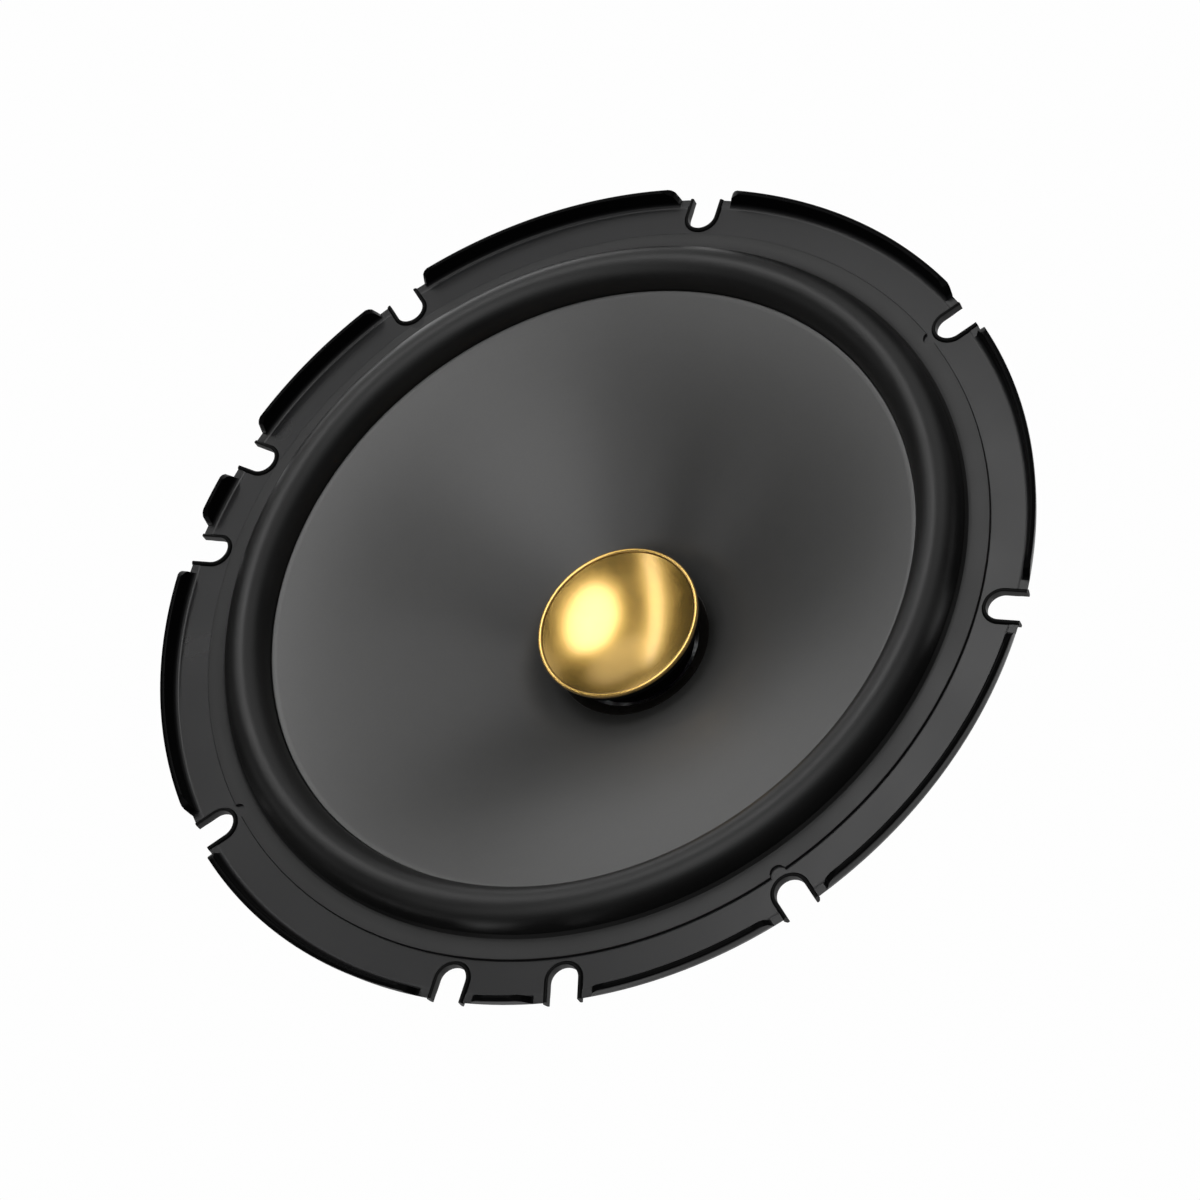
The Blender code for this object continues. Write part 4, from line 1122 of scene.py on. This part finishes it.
def make_blade(name, side, width):
    """Push-on blade with a tapered tip and locking hole, its moulded collar, and the solder at its root."""
    middle, half = side * BLADE_SPACING, width / 2
    left, right, tip = middle - half, middle + half, BLADE_OUTER - 1.0
    outline = rounded_loop([
        (left, BLADE_INNER), (right, BLADE_INNER), (right, tip), (right - 1.0, BLADE_OUTER),
        (left + 1.0, BLADE_OUTER), (left, tip),
    ], 0.3, 3)
    blade = prism(f"blade_{name}", outline, BLADE_BOTTOM, BLADE_TOP, 0.15)
    hole = BLADE_OUTER - LOCKING_HOLE_SETBACK
    carve(blade, [bore_cutter("locking_hole", width / 6, middle, hole, BLADE_BOTTOM - 1, BLADE_TOP + 1)])
    weigh_normals(blade)
    place(blade, "tin_plate", f"terminal_{name}")
    outline = rounded_loop(rectangle(left - COLLAR_RIM, right + COLLAR_RIM, *COLLAR_SPAN), 0.5, 3)
    collar = prism(f"collar_{name}", outline, BOARD_TOP, BLADE_TOP + 0.7, 0.25)
    place(collar, "phenolic_board")
    profile = rivet_profile(1.2, 1.25, BLADE_TOP - 0.1, BLADE_TOP + 0.75, 0.7)
    solder = lathe(f"solder_{name}", profile, TINY_STEPS)
    solder.location = (middle * MM, SOLDER_Y * MM, 0)
    place(solder, "bright_steel")


def make_capacitor():
    """A can in a sleeve: a recessed end, a rolled rim and the groove that holds its seal."""
    radius, half = CAPACITOR_RADIUS, CAPACITOR_LENGTH / 2
    neck = radius - 0.35
    profile = [
        (0.0, half - 0.5), (radius - 1.0, half - 0.5), (radius - 0.7, half), (radius - 0.3, half - 0.02),
        (radius, half - 0.4), (radius, half - 1.5), (neck, half - 1.9), (neck, half - 2.2),
        (radius, half - 2.6), (radius, -half + 0.4), (radius - 0.4, -half), (0.0, -half),
    ]
    can = lathe("capacitor_can", profile, SMALL_STEPS)
    middle = sum(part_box("crossover_capacitor"), Vector()) / 2
    can.matrix_world = Matrix.Translation(middle) @ Matrix.Rotation(math.pi / 2, 4, "Y")
    place(can, "blue_sleeve", "crossover_capacitor")


def eyelet_frame(side):
    """Point on the cone's front at an eyelet, and the outward normal there."""
    bearing = 90 - side * EYELET_ANGLE
    radial, axial = cone_normal(EYELET_CIRCLE)
    spot = Vector((*on_circle(EYELET_CIRCLE, bearing), cone_front(EYELET_CIRCLE)))
    return spot, Vector((*on_circle(radial, bearing), axial))


def make_leads():
    """Braided leads from the blades to the eyelets behind the cone, and the eyelets."""
    for side, name in ((1, "positive"), (-1, "negative")):
        spot, normal = eyelet_frame(side)
        profile = [(0.0, 0.55), (0.9, 0.55), (1.5, 0.3), (1.6, 0.0), (1.6, -0.4), (0.0, -0.4)]
        eyelet = lathe(f"cone_eyelet_{name}", profile, TINY_STEPS)
        turn = (-normal).to_track_quat("Z", "Y").to_matrix().to_4x4()
        back = spot - normal * (CONE_SHEET + 0.35)
        eyelet.matrix_world = Matrix.Translation(back * MM) @ turn
        place(eyelet, "eyelet_brass", f"lead_eyelet_{name}", "cone_assembly")
        end = spot - normal * (CONE_SHEET + 1.15)
        guides = [
            (side * BLADE_SPACING, 52.2, BLADE_TOP + 0.75), (side * BLADE_SPACING, 51.0, 31.0),
            (side * 6.4, 47.5, 32.7), (side * 6.3, 41.0, 33.4), (side * 6.2, 34.0, 33.1),
            (side * 6.0, 28.0, 33.4), end,
        ]
        lead = tube(f"braid_{name}", guides, LEAD_DIAMETER, 90)
        cover(lead, "copper_braid")
        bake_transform(lead)
        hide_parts(f"tinsel_lead_{name}")


def make_wires():
    """Two insulated wires: down the hollow stud, along the groove in the yoke, up beside the magnet."""
    for side, name, color in ((1, "positive", "red"), (-1, "negative", "black")):
        x = 0.55 * side
        guides = [
            (x, 0.0, 32.3), (x, 0.0, 24.0), (x, 0.0, 14.0), (x, 0.0, 6.0), (x, 0.0, 3.2),
            (x, 0.5, 1.7), (x, 2.4, 1.2), (x, 8.0, 1.2), (x, 18.0, 1.2), (x, 28.0, 1.2),
            (x, 37.0, 1.3), (x, 40.2, 2.2), (x, 41.4, 5.0), (x * 1.5, 41.5, 12.0),
        ]
        if side > 0:
            guides += [(4.2, 42.3, 18.5), (8.2, 45.0, 20.6), (8.4, 48.6, 21.2), (6.4, 49.9, 21.3)]
        else:
            guides += [(-2.6, 41.6, 18.5), (-5.6, 42.3, 22.5), (-6.5, 43.2, 25.8)]
        wire = tube(f"lead_wire_{name}", guides, WIRE_DIAMETER, 200)
        place(wire, f"{color}_vinyl", f"tweeter_wire_{name}")


# ---- stage

def make_stage():
    """A plain white backdrop all round, which neither lights the loudspeaker nor shades it."""
    mesh = bpy.data.meshes.new("backdrop")
    shape = bmesh.new()
    bmesh.ops.create_uvsphere(shape, u_segments=32, v_segments=16, radius=4.0)
    shape.to_mesh(mesh)
    shape.free()
    backdrop = new_object("backdrop", mesh)
    paper = new_material("white_backdrop", (0.0, 0.0, 0.0), 1.0, 0.0, 0.0)
    fill_shader(paper, {"Emission Color": (1.0, 1.0, 1.0, 1.0), "Emission Strength": 0.99})
    backdrop.data.materials.append(paper)
    backdrop.visible_diffuse = False
    backdrop.visible_glossy = False
    backdrop.visible_shadow = False


def make_light(name, elevation, bearing, length, width, twist, power):
    """An oval soft light that faces the middle of the loudspeaker."""
    lamp = bpy.data.lights.new(name, "AREA")
    lamp.shape = "ELLIPSE"
    lamp.size = length
    lamp.size_y = width
    lamp.energy = power
    flat, up = on_circle(1.0, elevation)
    outward = Vector((*on_circle(flat, bearing), up))
    aim = Vector((0, 0, FLANGE_FRONT * MM))
    turn = outward.to_track_quat("Z", "Y").to_matrix().to_4x4() @ Matrix.Rotation(math.radians(twist), 4, "Z")
    holder = bpy.data.objects.new(name, lamp)
    holder.matrix_world = Matrix.Translation(aim + outward * LIGHT_DISTANCE) @ turn
    bpy.context.scene.collection.objects.link(holder)


def make_lighting():
    world = bpy.data.worlds.new("studio")
    world.use_nodes = True
    background = world.node_tree.nodes["Background"]
    background.inputs["Color"].default_value = (1.0, 1.0, 1.0, 1.0)
    background.inputs["Strength"].default_value = 0.02
    bpy.context.scene.world = world
    bpy.context.scene.view_settings.view_transform = "Standard"
    for softbox in SOFTBOXES:
        make_light(*softbox)


def make_camera():
    lens = bpy.data.cameras.new("view")
    lens.lens = LENS
    lens.sensor_width = 36.0
    camera = bpy.data.objects.new("view", lens)
    turn = (Matrix.Rotation(VIEW_BEARING, 4, "Z") @ Matrix.Rotation(VIEW_TILT, 4, "X")
            @ Matrix.Rotation(VIEW_ROLL, 4, "Z"))
    aim = Vector((0.0, 0.0, FLANGE_FRONT - 0.55))
    offset = turn @ Vector((VIEW_OFFSET[0], VIEW_OFFSET[1], VIEW_DISTANCE))
    camera.matrix_world = Matrix.Translation((aim + offset) * MM) @ turn
    bpy.context.scene.collection.objects.link(camera)
    bpy.context.scene.camera = camera


make_camera()
make_stage()
make_lighting()
make_basket()
make_cone()
make_surround()
make_spider()
make_voice_coil()
make_motor()
make_rivets()
make_post()
make_dish()
make_bezel()
make_cup()
make_film()
finish_cad_shapes()
make_board()
make_capacitor()
make_leads()
make_wires()
